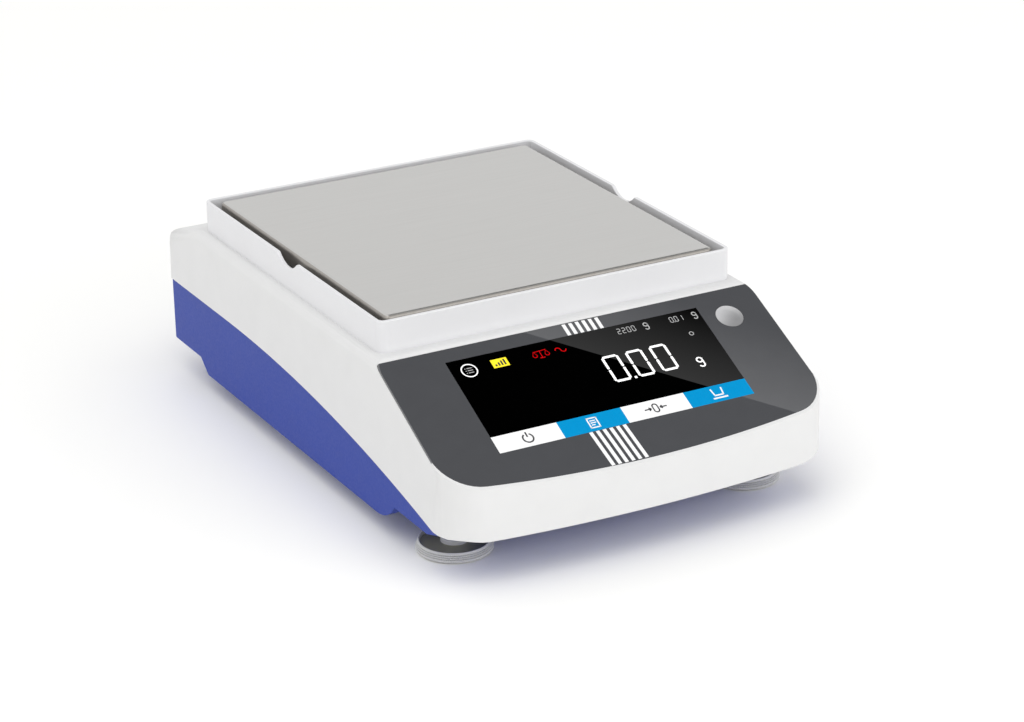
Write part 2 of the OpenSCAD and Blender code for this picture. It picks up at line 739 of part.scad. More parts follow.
// Casting of the weigh cell: base plate, guide block and the two pivot cheeks
module cell_base() color(aluminium) difference() {
    union() {
        translate([0, (plate_y0 + plate_y1) / 2, cell_z])
            block([cell_w, plate_y1 - plate_y0, cell_base_t]);
        translate([0, (block_y0 + block_y1) / 2, cell_z])
            block([block_w, block_d, cell_top - cell_z]);
        for (sx = [-1, 1]) translate([sx * (cheek_x + cheek_w / 2), pivot_y, cell_z])
            block([cheek_w, cheek_d, lever_z + cheek_d / 2 - cell_z]);
    }
    // Slots for the thin ends of the two guides
    for (z = [guide_lo, guide_hi])
        translate([0, block_y1 - slot_d / 2 + 1, z]) cube(slot, center = true);
    // Window for the lever
    translate([0, (block_y0 + block_y1) / 2, lever_z])
        cube([lever_w + 2 * lever_room, 2 * block_d, lever_h + 2 * lever_room], center = true);
    // Pivot bores
    translate([-cell_w / 2, pivot_y, lever_z]) rotate([0, 90, 0])
        cylinder(r = pivot_r, h = cell_w);
    for (p = plate_screws) translate([p[0], p[1], cell_z - 1])
        cylinder(r = plate_screw_r + screw_gap, h = cell_base_t + 2);
    for (sx = [-1, 1]) translate([sx * stop_x, pan_y, cell_z - 1])
        cylinder(r = stop_r, h = cell_base_t + 2);
}

module cell_screws() color(steel) for (p = plate_screws) translate([p[0], p[1], plate_z]) {
    cylinder(r = 2 * plate_screw_r, h = 2 * plate_screw_r);
    translate([0, 0, -cell_base_t - bite]) cylinder(r = plate_screw_r, h = cell_base_t + bite);
}

// Stops that catch the hanger when the pan is overloaded
module stop_screws() color(steel) for (sx = [-1, 1]) translate([sx * stop_x, pan_y, cell_z])
    cylinder(r = stop_r - running, h = hanger_z - rest_gap - cell_z);

// Light gate around the vane at the lever's end
module position_sensor() color(black) translate([0, fork_y, plate_z]) difference() {
    block([fork[0], fork[1], lever_z + lever_h / 2 - plate_z]);
    translate([0, 0, pot_wall]) block([fork[2], 2 * fork[1], far]);
}

module magnet_pot() color([0.55, 0.56, 0.58]) translate([0, coil_y, plate_z]) rotate_extrude()
    polygon([[0, 0], [pot_r, 0], [pot_r, pot_h], [coil_out + coil_gap, pot_h],
        [coil_out + coil_gap, pot_wall], [0, pot_wall]]);

module magnet() color([0.35, 0.35, 0.37]) translate([0, coil_y, plate_z + pot_wall])
    cylinder(r = magnet_r, h = pot_h - 2 * pot_wall);

module pole_cap() color([0.55, 0.56, 0.58]) translate([0, coil_y, plate_z + pot_h - pot_wall])
    cylinder(r = cap_r, h = pot_wall);

// Frame that hangs in the two guides and carries the pan's load post
module load_hanger() color(aluminium) difference() {
    union() {
        translate([0, pan_y, hanger_z]) block([block_w, hanger_d, cell_top - hanger_z]);
        translate([0, pan_y, cell_top - 1])
            cylinder(r = post_r, h = carrier_z + carrier_seat - cell_top + 1);
        translate([0, (band_y - band_seat + pan_y) / 2, toe_z])
            block([toe_w, pan_y - band_y + band_seat, toe_t]);
    }
    // Pockets in both faces that lighten it and give the lever's short end room
    for (sy = [-1, 1]) translate([0, pan_y + sy * (hanger_d + web) / 2, toe_z + toe_t])
        block([3 * lever_w, hanger_d, lever_z + lever_w - toe_z]);
    for (z = [guide_lo, guide_hi])
        translate([0, pan_y - hanger_d / 2 + slot_d / 2 - 1, z]) cube(slot, center = true);
    // Seat of the coupling band
    translate([0, band_y, toe_z + band_seat])
        block([band_w + 2 * running, band_t + 2 * running, toe_t]);
    // Thread for the carrier's screw
    translate([0, pan_y, carrier_z + carrier_seat - bite - 1])
        cylinder(r = plate_screw_r + running, h = far);
}

module coupling_band() color(steel) translate([0, band_y, toe_z + band_seat])
    block([band_w, band_t, lever_z - toe_z - band_seat]);

// Parallel guide: a stiff frame with a thin flexure at each end
module guide(z) {
    stiff = guide_l - flex_free;
    translate([0, (fixed_y + free_y) / 2, z]) difference() {
        union() {
            cube([guide_w, stiff, guide_t], center = true);
            cube([guide_w, guide_l + flex_free + 2 * (slot_d - 1), flexure_t], center = true);
        }
        cube([guide_w - 2 * rail, stiff - 2 * rail, far], center = true);
        for (sy = [-1, 1]) translate([0, sy * guide_l / 2, 0])
            cube([guide_w - 2 * strap, flex_free, far], center = true);
    }
}

module upper_guide() color(steel) guide(guide_hi);

module lower_guide() color(steel) guide(guide_lo);

module lever() color(aluminium) difference() {
    union() {
        translate([0, (lever_y1 + lever_y0) / 2, lever_z])
            cube([lever_w, lever_y1 - lever_y0, lever_h], center = true);
        translate([0, coil_y - vane[1] / 2, lever_z]) cube(vane, center = true);
    }
    translate([-lever_w, pivot_y, lever_z]) rotate([0, 90, 0])
        cylinder(r = pivot_r + running, h = 2 * lever_w);
    translate([0, band_y, lever_z - lever_h / 2 - 1])
        block([band_w + 2 * rest_gap, band_t + 2 * rest_gap, lever_h / 2 + 1 + rest_gap]);
}

module lever_pivot() color(steel) translate([-cheek_x - cheek_w, pivot_y, lever_z])
    rotate([0, 90, 0]) cylinder(r = pivot_r, h = 2 * (cheek_x + cheek_w));

// Disc and stem that carry the coil under the lever
module coil_former() color([0.85, 0.83, 0.75]) translate([0, coil_y, former_z]) {
    cylinder(r = coil_out, h = former_t);
    cylinder(r = lever_w / 3, h = lever_z - lever_h / 2 - former_z);
}

module coil() color([0.7, 0.4, 0.2]) translate([0, coil_y, coil_z]) difference() {
    cylinder(r = coil_out, h = former_z - coil_z);
    translate([0, 0, -1]) cylinder(r = coil_in, h = former_z);
}

// Cast cross under the pan, with a seat on the load post
module pan_carrier() color(aluminium) translate([0, pan_y, carrier_z]) difference() {
    union() {
        cylinder(r = hub_r, h = carrier_t);
        for (sx = [-1, 1], sy = [-1, 1]) {
            l = norm([arm_x, arm_y]);
            rotate([0, 0, atan2(sy * arm_y, sx * arm_x)]) {
                translate([l / 2, 0, 0]) block([l, arm_w, arm_t]);
                translate([l / 2, 0, 0]) block([l, arm_t, carrier_t]);
            }
            translate([sx * arm_x, sy * arm_y, 0]) cylinder(r = buffer_r + 2, h = carrier_t);
        }
    }
    translate([0, 0, -1]) cylinder(r = post_r + running, h = carrier_seat + 1);
    cylinder(r = plate_screw_r + screw_gap, h = 2 * carrier_t);
    for (sx = [-1, 1], sy = [-1, 1])
        translate([sx * arm_x, sy * arm_y, -1]) cylinder(r = stem_r + running, h = carrier_t + 2);
}

module carrier_screw() color(steel) translate([0, pan_y, carrier_z]) {
    translate([0, 0, carrier_t]) cylinder(r = 2 * plate_screw_r, h = head_h);
    translate([0, 0, carrier_seat - bite])
        cylinder(r = plate_screw_r, h = carrier_t - carrier_seat + bite);
}

module pan_buffers() color(rubber) for (sx = [-1, 1], sy = [-1, 1])
    translate([sx * arm_x, pan_y + sy * arm_y, carrier_z]) {
        cylinder(r = stem_r, h = carrier_t);
        translate([0, 0, carrier_t])
            cylinder(r = buffer_r, h = pan_top - pan_t - carrier_z - carrier_t);
    }

// Side or front view of the pan with rounded upper edges, i inside its skin
function pan_pts(w, i, low) = concat([[-w / 2 + i, low], [w / 2 - i, low]],
    arc([w / 2 - pan_edge_r, pan_top - pan_edge_r], pan_edge_r - i, 0, 90, 5),
    arc([-w / 2 + pan_edge_r, pan_top - pan_edge_r], pan_edge_r - i, 90, 180, 5));

module pan_form(i, low) translate([0, pan_y, 0]) intersection() {
    along() polygon(pan_pts(pan_w, i, low));
    across() polygon(pan_pts(pan_d, i, low));
    linear_extrude(pan_top + 1) round_rect(pan_w - 2 * i, pan_d - 2 * i, 4 - i);
}

module weighing_pan() color(steel) difference() {
    pan_form(0, pan_top - pan_rim);
    pan_form(pan_t, 0);
}

// Finger notch under the rim: one arc with a rounded shoulder at each end
function notch_pts() =
    let (q = 2,
         r = (notch_w * notch_w / 4 / notch_h + notch_h) / 2 - q,
         turn = acos((r + q - notch_h) / (r + q)))
    concat([[notch_w / 2, ring_h], [-notch_w / 2, ring_h]],
        arc([-notch_w / 2, -q], q, 90, 90 - turn, 4),
        arc([0, r - notch_h], r, 270 - turn, 270 + turn, 16),
        arc([notch_w / 2, -q], q, 90 + turn, 90, 4));

// Low wall around the pan that keeps draughts off, with a finger notch on each side
module draft_shield() color(white) difference() {
    translate([0, pan_y, top_z]) linear_extrude(ring_h) difference() {
        round_rect(ring_w + 2 * ring_wall, ring_d + 2 * ring_wall, ring_r + ring_wall);
        round_rect(ring_w, ring_d, ring_r);
    }
    translate([0, pan_y, top_z + ring_h]) across() polygon(notch_pts());
}

// Screw foot: knurled disc with a dished top and a threaded stud
module foot_screw(p) color([0.71, 0.72, 0.73]) translate([p[0], p[1], 0]) {
    low = pad_t - 0.7;
    band = (foot_t - low) / 4;
    bevel = 0.6;
    top = p[2] + stud_above;
    rotate_extrude() polygon(concat(
        [[0, pad_t + rest_gap], [recess_r, pad_t + rest_gap], [recess_r, low],
         [foot_r - bevel, low], [foot_r, low + bevel]],
        [for (k = [1:3], g = [-1, 0, 1])
            [foot_r - (g == 0 ? groove : 0), low + k * band + g * groove / 2]],
        [[foot_r, foot_t - groove], [foot_r - groove, foot_t],
         [foot_r - foot_rim + groove, foot_t], [foot_r - foot_rim, foot_t - groove],
         [foot_r - foot_rim - bevel, foot_t - dish], [stud_r + 3, foot_t - dish - groove],
         [stud_r + 2, foot_t + bevel], [stud_r, foot_t + bevel],
         [stud_r, top - bevel], [stud_r - bevel, top], [0, top]]));
}

module foot_pad(p) color(rubber) translate([p[0], p[1], 0])
    cylinder(r = recess_r - rest_gap, h = pad_t);

module foot_screw_front_left() foot_screw(feet[0]);
module foot_screw_front_right() foot_screw(feet[1]);
module foot_screw_rear_left() foot_screw(feet[2]);
module foot_screw_rear_right() foot_screw(feet[3]);
module foot_pad_front_left() foot_pad(feet[0]);
module foot_pad_front_right() foot_pad(feet[1]);
module foot_pad_rear_left() foot_pad(feet[2]);
module foot_pad_rear_right() foot_pad(feet[3]);

top_housing();
bottom_housing();
control_panel();
display_window();
display_module();
display_board();
display_screws();
level_vial();
level_lens();
main_board();
board_parts();
board_screws();
power_inlet();
serial_socket();
dust_collar();
housing_screws();
foot_inserts();
cell_base();
cell_screws();
stop_screws();
position_sensor();
magnet_pot();
magnet();
pole_cap();
load_hanger();
coupling_band();
upper_guide();
lower_guide();
lever();
lever_pivot();
coil_former();
coil();
pan_carrier();
carrier_screw();
pan_buffers();
weighing_pan();
draft_shield();
foot_screw_front_left();
foot_screw_front_right();
foot_screw_rear_left();
foot_screw_rear_right();
foot_pad_front_left();
foot_pad_front_right();
foot_pad_rear_left();
foot_pad_rear_right();
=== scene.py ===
from math import atan, atan2, cos, hypot, pi, radians, sin

import bpy
import bmesh
from mathutils import Matrix, Vector


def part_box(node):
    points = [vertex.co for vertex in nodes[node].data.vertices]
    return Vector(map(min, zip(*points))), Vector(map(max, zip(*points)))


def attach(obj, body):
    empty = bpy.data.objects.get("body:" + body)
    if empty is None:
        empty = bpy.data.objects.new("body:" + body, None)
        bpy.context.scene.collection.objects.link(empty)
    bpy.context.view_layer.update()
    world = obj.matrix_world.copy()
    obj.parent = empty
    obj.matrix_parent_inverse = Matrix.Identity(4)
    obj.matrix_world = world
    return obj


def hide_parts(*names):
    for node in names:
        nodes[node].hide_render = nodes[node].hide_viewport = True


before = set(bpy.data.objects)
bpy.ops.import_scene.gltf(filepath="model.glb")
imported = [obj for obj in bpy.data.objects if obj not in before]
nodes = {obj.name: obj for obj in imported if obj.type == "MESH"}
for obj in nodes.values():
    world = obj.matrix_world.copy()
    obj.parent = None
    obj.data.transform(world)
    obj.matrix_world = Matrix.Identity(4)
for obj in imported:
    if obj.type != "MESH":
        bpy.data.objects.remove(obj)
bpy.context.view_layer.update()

scene = bpy.context.scene
scene.view_settings.view_transform = "Standard"

# The camera stands to the left of the display and looks down on the balance, as a product
# photographer's does with a long lens. Its place was worked out from the edges of the ring
# and the housing.
camera_at = Vector((-0.692385, -1.303685, 0.640850))
camera_turn = radians(-28.453)
camera_rise = radians(22.222)
camera_roll = radians(-0.955)
camera_lens = 110.80
camera_back = Vector((sin(camera_turn) * cos(camera_rise), -cos(camera_turn) * cos(camera_rise),
                      sin(camera_rise)))
level_right = Vector((cos(camera_turn), sin(camera_turn), 0.0))
level_up = camera_back.cross(level_right)
camera_right = level_right * cos(camera_roll) + level_up * sin(camera_roll)
camera_up = level_up * cos(camera_roll) - level_right * sin(camera_roll)
bpy.ops.object.camera_add(location=camera_at)
camera = bpy.context.object
camera.rotation_euler = Matrix((camera_right, camera_up, camera_back)).transposed().to_euler()
camera.data.lens = camera_lens
camera.data.sensor_width = 36.0
camera.data.clip_end = 20.0
camera.data.dof.use_dof = False
scene.camera = camera

# The balance stands on a plain white studio table, painted matt. The table is only a stage for
# the picture and no part of the balance.
table_side = 6.0
table_white = (0.99, 0.987, 0.972)
bpy.ops.object.select_all(action="DESELECT")
bpy.ops.mesh.primitive_plane_add(size=table_side, location=(0.0, 0.0, 0.0))
table = bpy.context.object
table.name = "studio_table"
table_paint = bpy.data.materials.new("studio_table_paint")
table_paint.use_nodes = True
table_shader = table_paint.node_tree.nodes["Principled BSDF"]
table_shader.inputs["Base Color"].default_value = (*table_white, 1.0)
table_shader.inputs["Roughness"].default_value = 0.7
table_shader.inputs["Specular IOR Level"].default_value = 0.1
table.data.materials.append(table_paint)

# Studio light: a pale surround with a black flag where the slope mirrors it, so that the
# display stays black. Beside the flag a strip with one straight edge, which dims to its far
# side, lies across the slope as a soft sheen. Two soft boxes hang overhead and in front.
slope_run, slope_high, slope_low = 0.0842, 0.0880, 0.0464
slope_rise = atan((slope_high - slope_low) / slope_run)
slope_top = Vector((0.0, -0.0798, slope_high))
slope_out = Vector((0.0, -sin(slope_rise), cos(slope_rise)))
slope_down = Vector((0.0, -cos(slope_rise), -sin(slope_rise)))
panel_margin = 0.0029
surround_strength = 1.03
strip_strength = 0.70
flag_inner, flag_outer = cos(radians(10.0)), cos(radians(24.0))
flag_mid = (0.0, 0.040)
sheen_from, sheen_to = (-0.0229, 0.0009), (0.0824, 0.0841)
sheen_inside, sheen_far_side = (0.090, 0.020), (0.0551, -0.0039)


def mirrored(x, s):
    """Where the light comes from that the camera sees at a point of the panel: x is to the
    right of its middle, s down the slope from its upper edge."""
    at = slope_top + Vector((x, 0.0, 0.0)) + slope_down * (panel_margin + s)
    sight = (at - camera_at).normalized()
    return sight - 2.0 * sight.dot(slope_out) * slope_out


strip_side = mirrored(*sheen_from).cross(mirrored(*sheen_to)).normalized()
if strip_side.dot(mirrored(*sheen_inside)) < 0.0:
    strip_side.negate()
strip_width = mirrored(*sheen_far_side).dot(strip_side)
surround = bpy.data.worlds.new("studio_surround")
scene.world = surround
surround.use_nodes = True
sky = surround.node_tree
way = sky.nodes.new("ShaderNodeTexCoord")
across = sky.nodes.new("ShaderNodeVectorMath")
across.operation = "DOT_PRODUCT"
across.inputs[1].default_value = strip_side
along = sky.nodes.new("ShaderNodeVectorMath")
along.operation = "DOT_PRODUCT"
along.inputs[1].default_value = mirrored(*flag_mid)
edge = sky.nodes.new("ShaderNodeMath")
edge.operation = "GREATER_THAN"
edge.inputs[1].default_value = 0.0
fade = sky.nodes.new("ShaderNodeMapRange")
fade.inputs["From Min"].default_value = 0.0
fade.inputs["From Max"].default_value = strip_width
fade.inputs["To Min"].default_value = strip_strength
fade.inputs["To Max"].default_value = 0.0
strip = sky.nodes.new("ShaderNodeMath")
strip.operation = "MULTIPLY"
flag = sky.nodes.new("ShaderNodeMapRange")
flag.interpolation_type = "SMOOTHSTEP"
flag.inputs["From Min"].default_value = flag_outer
flag.inputs["From Max"].default_value = flag_inner
flag.inputs["To Min"].default_value = surround_strength
glow = sky.nodes["Background"]
glow.inputs["Color"].default_value = (1.0, 1.0, 1.0, 1.0)
sky.links.new(way.outputs["Generated"], across.inputs[0])
sky.links.new(way.outputs["Generated"], along.inputs[0])
sky.links.new(across.outputs["Value"], edge.inputs[0])
sky.links.new(across.outputs["Value"], fade.inputs["Value"])
sky.links.new(edge.outputs["Value"], strip.inputs[0])
sky.links.new(fade.outputs["Result"], strip.inputs[1])
sky.links.new(along.outputs["Value"], flag.inputs["Value"])
sky.links.new(strip.outputs["Value"], flag.inputs["To Max"])
sky.links.new(flag.outputs["Result"], glow.inputs["Strength"])


def hang_soft_box(name, at, aim, size, power):
    """A rectangular soft box that hangs at a point and faces another."""
    bpy.ops.object.light_add(type="AREA", location=at)
    box = bpy.context.object
    box.name = name
    box.data.shape = "RECTANGLE"
    box.data.size, box.data.size_y = size
    box.data.energy = power
    box.rotation_euler = (Vector(at) - Vector(aim)).to_track_quat("Z", "Y").to_euler()


hang_soft_box("overhead_box", at=(-0.6, -0.5, 1.6), aim=(0.0, 0.0, 0.05),
              size=(1.2, 1.2), power=4.0)
hang_soft_box("front_box", at=(0.7, -1.6, 0.7), aim=(0.0, -0.1, 0.05),
              size=(1.2, 0.8), power=6.0)

# Upper housing shell: one white moulding in a fine matt grain, set over the blue tub's lip and
# held by six screws from below. Its rim, the crease over the front face and the bend at the
# top of the slope are softly rounded, and the rim rises a little at the front corners.
shell_white = (0.70, 0.70, 0.70)
shell_rim_r, shell_rim_below = 0.0024, 0.0523
shell_crease_r, shell_front_y = 0.0016, -0.14
shell_bend_r = 0.0024
rounded_from = radians(20.0)
near = 0.0005
corner_mid = Vector((0.0825, -0.1420))
corner_lift, corner_gain = 0.0013, 1.3
lift_low, lift_high = 0.0255, 0.0330
ramp_low, ramp_high = 0.3, 0.7


def start_finish(name, colour, rough, metal=0.0, shine=0.5):
    """A new material with one Principled shader and its even values."""
    finish = bpy.data.materials.new(name)
    finish.use_nodes = True
    shader = finish.node_tree.nodes["Principled BSDF"]
    shader.inputs["Base Color"].default_value = (*colour, 1.0)
    shader.inputs["Roughness"].default_value = rough
    shader.inputs["Metallic"].default_value = metal
    shader.inputs["Specular IOR Level"].default_value = shine
    return finish


def place_noise(finish, scale, stretch=(1.0, 1.0, 1.0), detail=2.0):
    """Noise on the piece's own coordinates, stretched along an axis for brushed metal."""
    tree = finish.node_tree
    place = tree.nodes.new("ShaderNodeTexCoord")
    lay = tree.nodes.new("ShaderNodeMapping")
    lay.inputs["Scale"].default_value = stretch
    grain = tree.nodes.new("ShaderNodeTexNoise")
    grain.inputs["Scale"].default_value = scale
    grain.inputs["Detail"].default_value = detail
    tree.links.new(place.outputs["Object"], lay.inputs["Vector"])
    tree.links.new(lay.outputs["Vector"], grain.inputs["Vector"])
    return grain


def tint(finish, colour, spread, scale, stretch=(1.0, 1.0, 1.0)):
    """Lets the colour wander slightly around its mean."""
    tree = finish.node_tree
    grain = place_noise(finish, scale, stretch)
    tones = tree.nodes.new("ShaderNodeValToRGB")
    tones.color_ramp.elements[0].position = ramp_low
    tones.color_ramp.elements[1].position = ramp_high
    tones.color_ramp.elements[0].color = (*[c * (1.0 - spread) for c in colour], 1.0)
    tones.color_ramp.elements[1].color = (*[min(1.0, c * (1.0 + spread)) for c in colour], 1.0)
    tree.links.new(grain.outputs["Fac"], tones.inputs["Fac"])
    tree.links.new(tones.outputs["Color"], tree.nodes["Principled BSDF"].inputs["Base Color"])


def vary_gloss(finish, low, high, scale, stretch=(1.0, 1.0, 1.0)):
    """Lets the roughness wander between two values."""
    tree = finish.node_tree
    grain = place_noise(finish, scale, stretch)
    span = tree.nodes.new("ShaderNodeMapRange")
    span.inputs["From Min"].default_value = ramp_low
    span.inputs["From Max"].default_value = ramp_high
    span.inputs["To Min"].default_value = low
    span.inputs["To Max"].default_value = high
    tree.links.new(grain.outputs["Fac"], span.inputs["Value"])
    tree.links.new(span.outputs["Result"], tree.nodes["Principled BSDF"].inputs["Roughness"])


def raise_grain(finish, scale, height, strength, stretch=(1.0, 1.0, 1.0)):
    """Fine relief on the surface."""
    tree = finish.node_tree
    grain = place_noise(finish, scale, stretch, 3.0)
    relief = tree.nodes.new("ShaderNodeBump")
    relief.inputs["Distance"].default_value = height
    relief.inputs["Strength"].default_value = strength
    tree.links.new(grain.outputs["Fac"], relief.inputs["Height"])
    tree.links.new(relief.outputs["Normal"], tree.nodes["Principled BSDF"].inputs["Normal"])


def moulded(name, colour, rough=0.42):
    """Moulded plastic with a fine spark-eroded grain."""
    finish = start_finish(name, colour, rough, shine=0.25)
    tint(finish, colour, 0.012, 60.0)
    vary_gloss(finish, rough - 0.05, rough + 0.06, 900.0)
    raise_grain(finish, 2600.0, 0.00002, 0.35)
    return finish


def only(*pieces):
    """Selects just these pieces; the first is the active one."""
    bpy.ops.object.select_all(action="DESELECT")
    for piece in pieces:
        piece.select_set(True)
    bpy.context.view_layer.objects.active = pieces[0]


def take_solid(node, name):
    """A copy of a CAD solid with its triangles merged into whole faces."""
    piece = bpy.data.objects.new(name, nodes[node].data.copy())
    scene.collection.objects.link(piece)
    piece.data.name = name
    piece.data.materials.clear()
    only(piece)
    bpy.ops.object.mode_set(mode="EDIT")
    bpy.ops.mesh.select_all(action="SELECT")
    bpy.ops.mesh.remove_doubles(threshold=0.000002)
    bpy.ops.mesh.dissolve_limited(angle_limit=radians(0.1))
    bpy.ops.object.mode_set(mode="OBJECT")
    return piece


def round_edges(piece, radius, steps, wanted):
    """Bevels the edges for which wanted(middle, normal_a, normal_b) holds."""
    only(piece)
    bpy.ops.object.mode_set(mode="EDIT")
    bpy.ops.mesh.select_mode(type="EDGE")
    bpy.ops.mesh.select_all(action="DESELECT")
    sketch = bmesh.from_edit_mesh(piece.data)
    for edge in sketch.edges:
        if len(edge.link_faces) != 2 or not edge.is_convex:
            continue
        a, b = (face.normal for face in edge.link_faces)
        middle = (edge.verts[0].co + edge.verts[1].co) / 2
        if a.angle(b, 0.0) >= rounded_from and wanted(middle, a, b):
            edge.select_set(True)
    bmesh.update_edit_mesh(piece.data)
    bpy.ops.mesh.bevel(offset=radius, segments=steps, profile=0.5, clamp_overlap=True)
    bpy.ops.object.mode_set(mode="OBJECT")


def smooth(piece, limit=32.0):
    """Smooth shading with crisp edges kept, and flat faces kept flat."""
    only(piece)
    bpy.ops.object.shade_smooth_by_angle(angle=radians(limit))
    weigh = piece.modifiers.new("flat_faces", "WEIGHTED_NORMAL")
    weigh.keep_sharp = True
    bpy.ops.object.modifier_apply(modifier=weigh.name)


def steep(normal):
    """Whether a face stands rather than lies."""
    return abs(normal.z) < 0.5


def either(a, b, holds):
    """Whether something holds for the two faces of an edge, in one order or the other."""
    return holds(a, b) or holds(b, a)


def on_rim(m, a, b):
    """The shell's outer lower edge, between a face that looks down and an outer wall."""
    return m.z < shell_rim_below and either(
        a, b, lambda low, wall: low.z < -0.85 and steep(wall) and wall.xy.dot(m.xy) > 0.05)


def on_crease(m, a, b):
    """The edge between the slope and the front face."""
    return m.y < shell_front_y and either(
        a, b, lambda top, wall: top.angle(slope_out) < 0.05 and steep(wall) and wall.y < 0.0)


def on_bend(m, a, b):
    """The edge between the flat top and the slope."""
    return abs(m.y - slope_top.y) < near and abs(m.z - slope_top.z) < near


upper_shell = take_solid("top_housing", "upper_shell")
round_edges(upper_shell, shell_rim_r, 4, on_rim)
round_edges(upper_shell, shell_crease_r, 4, on_crease)
round_edges(upper_shell, shell_bend_r, 5, on_bend)
for vert in upper_shell.data.vertices:
    outward, forward = abs(vert.co.x) - corner_mid.x, corner_mid.y - vert.co.y
    if outward > 0.0 and forward > 0.0 and vert.co.z < lift_high:
        share = min(1.0, (lift_high - vert.co.z) / (lift_high - lift_low))
        turn = atan2(forward, outward)
        vert.co.z += corner_lift * share * corner_gain * sin(2.0 * turn) * cos(turn)
smooth(upper_shell)
upper_shell.data.materials.append(moulded("white_moulding", shell_white))
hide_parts("top_housing")
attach(upper_shell, "housing")

# Lower housing tub: blue moulding with the same grain, a lip that locates the upper shell,
# bosses for the feet and the weigh cell, and a belly between the feet.
tub_blue = (0.017, 0.046, 0.315)
tub_edge_r, tub_edge_below = 0.0010, 0.028


def on_tub_edge(m, a, b):
    """The tub's outer lower edge."""
    return m.z < tub_edge_below and either(
        a, b, lambda low, wall: low.z < -0.3 and steep(wall) and wall.xy.dot(m.xy) > 0.02)


lower_tub = take_solid("bottom_housing", "lower_tub")
round_edges(lower_tub, tub_edge_r, 3, on_tub_edge)
smooth(lower_tub)
lower_tub.data.materials.append(moulded("blue_moulding", tub_blue, 0.45))
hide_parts("bottom_housing")
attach(lower_tub, "housing")

# Screws: six small zinc plated pan heads, sunk in the tub's underside, hold the two shells
# together. The boards, the cell and the carrier have the same kind, and the lever's pin is
# finished like them.


def plated(name, colour, rough):
    """Plain metal with faint tool marks."""
    finish = start_finish(name, colour, rough, metal=1.0)
    tint(finish, colour, 0.06, 400.0)
    vary_gloss(finish, rough - 0.06, rough + 0.08, 700.0)
    raise_grain(finish, 1500.0, 0.00001, 0.3)
    return finish


def refinish(finish, *names):
    """Gives CAD solids this finish in their own material slots."""
    for name in names:
        solid = nodes[name]
        if not solid.data.materials:
            solid.data.materials.append(finish)
        for k in range(len(solid.material_slots)):
            solid.material_slots[k].material = finish


zinc = plated("zinc_plate", (0.56, 0.57, 0.58), 0.34)
refinish(zinc, "housing_screws", "display_screws", "board_screws", "cell_screws",
         "stop_screws", "carrier_screw", "lever_pivot")

# Control panel: a dark grey film with a clear hard coat, laid in the slope flush with its
# sides. It is bare but for two groups of plain white lines above and below the display.


def clear_coat(finish, rough, bend):
    """A smooth clear layer over the colour; bend is its refractive index."""
    shader = finish.node_tree.nodes["Principled BSDF"]
    shader.inputs["Coat Weight"].default_value = 1.0
    shader.inputs["Coat Roughness"].default_value = rough
    shader.inputs["Coat IOR"].default_value = bend


panel_grey = (0.075, 0.077, 0.083)
panel_finish = start_finish("panel_film_grey", panel_grey, 0.5, shine=0.0)
tint(panel_finish, panel_grey, 0.02, 90.0)
vary_gloss(panel_finish, 0.42, 0.56, 1200.0)
raise_grain(panel_finish, 3200.0, 0.000004, 0.2)
clear_coat(panel_finish, 0.004, 1.75)
refinish(panel_finish, "control_panel")
print_lift = 0.00004
line_white = (0.86, 0.86, 0.86)
line_w, line_step = 0.0019, 0.0036
upper_line_x, upper_line_s, upper_line_h = -0.0028, 0.0042, 0.0072
lower_line_x, lower_line_s, lower_line_h = -0.0218, 0.0779, 0.0214
lower_line_lean = radians(3.0)


def printed(name, colour, rough=0.4, glow=0.0):
    """Ink or a lit mark: an even colour with a trace of unevenness."""
    finish = start_finish(name, colour, rough, shine=0.12)
    tint(finish, colour, 0.015, 500.0)
    vary_gloss(finish, rough - 0.03, rough + 0.03, 1500.0)
    if glow:
        shader = finish.node_tree.nodes["Principled BSDF"]
        shader.inputs["Emission Color"].default_value = (*colour, 1.0)
        shader.inputs["Emission Strength"].default_value = glow
    return finish


def flat_bar(x, s, width, height, turn=0.0, tips=0.0):
    """A thin bar on the drawing board, x to the right and s down; tips cuts its corners."""
    bpy.ops.object.select_all(action="DESELECT")
    bpy.ops.mesh.primitive_plane_add(size=1.0, location=(0.0, 0.0, 0.0))
    bar = bpy.context.object
    bpy.ops.object.mode_set(mode="EDIT")
    bpy.ops.mesh.select_all(action="SELECT")
    bpy.ops.transform.resize(value=(width, height, 1.0))
    if tips:
        bpy.ops.mesh.bevel(offset=tips, segments=1, affect="VERTICES")
        bpy.ops.mesh.select_all(action="SELECT")
    bpy.ops.mesh.extrude_region_move(TRANSFORM_OT_translate={"value": (0.0, 0.0, print_lift)})
    bpy.ops.object.mode_set(mode="OBJECT")
    bar.rotation_euler = (0.0, 0.0, turn)
    bar.location = (x, -s, 0.0)
    return bar


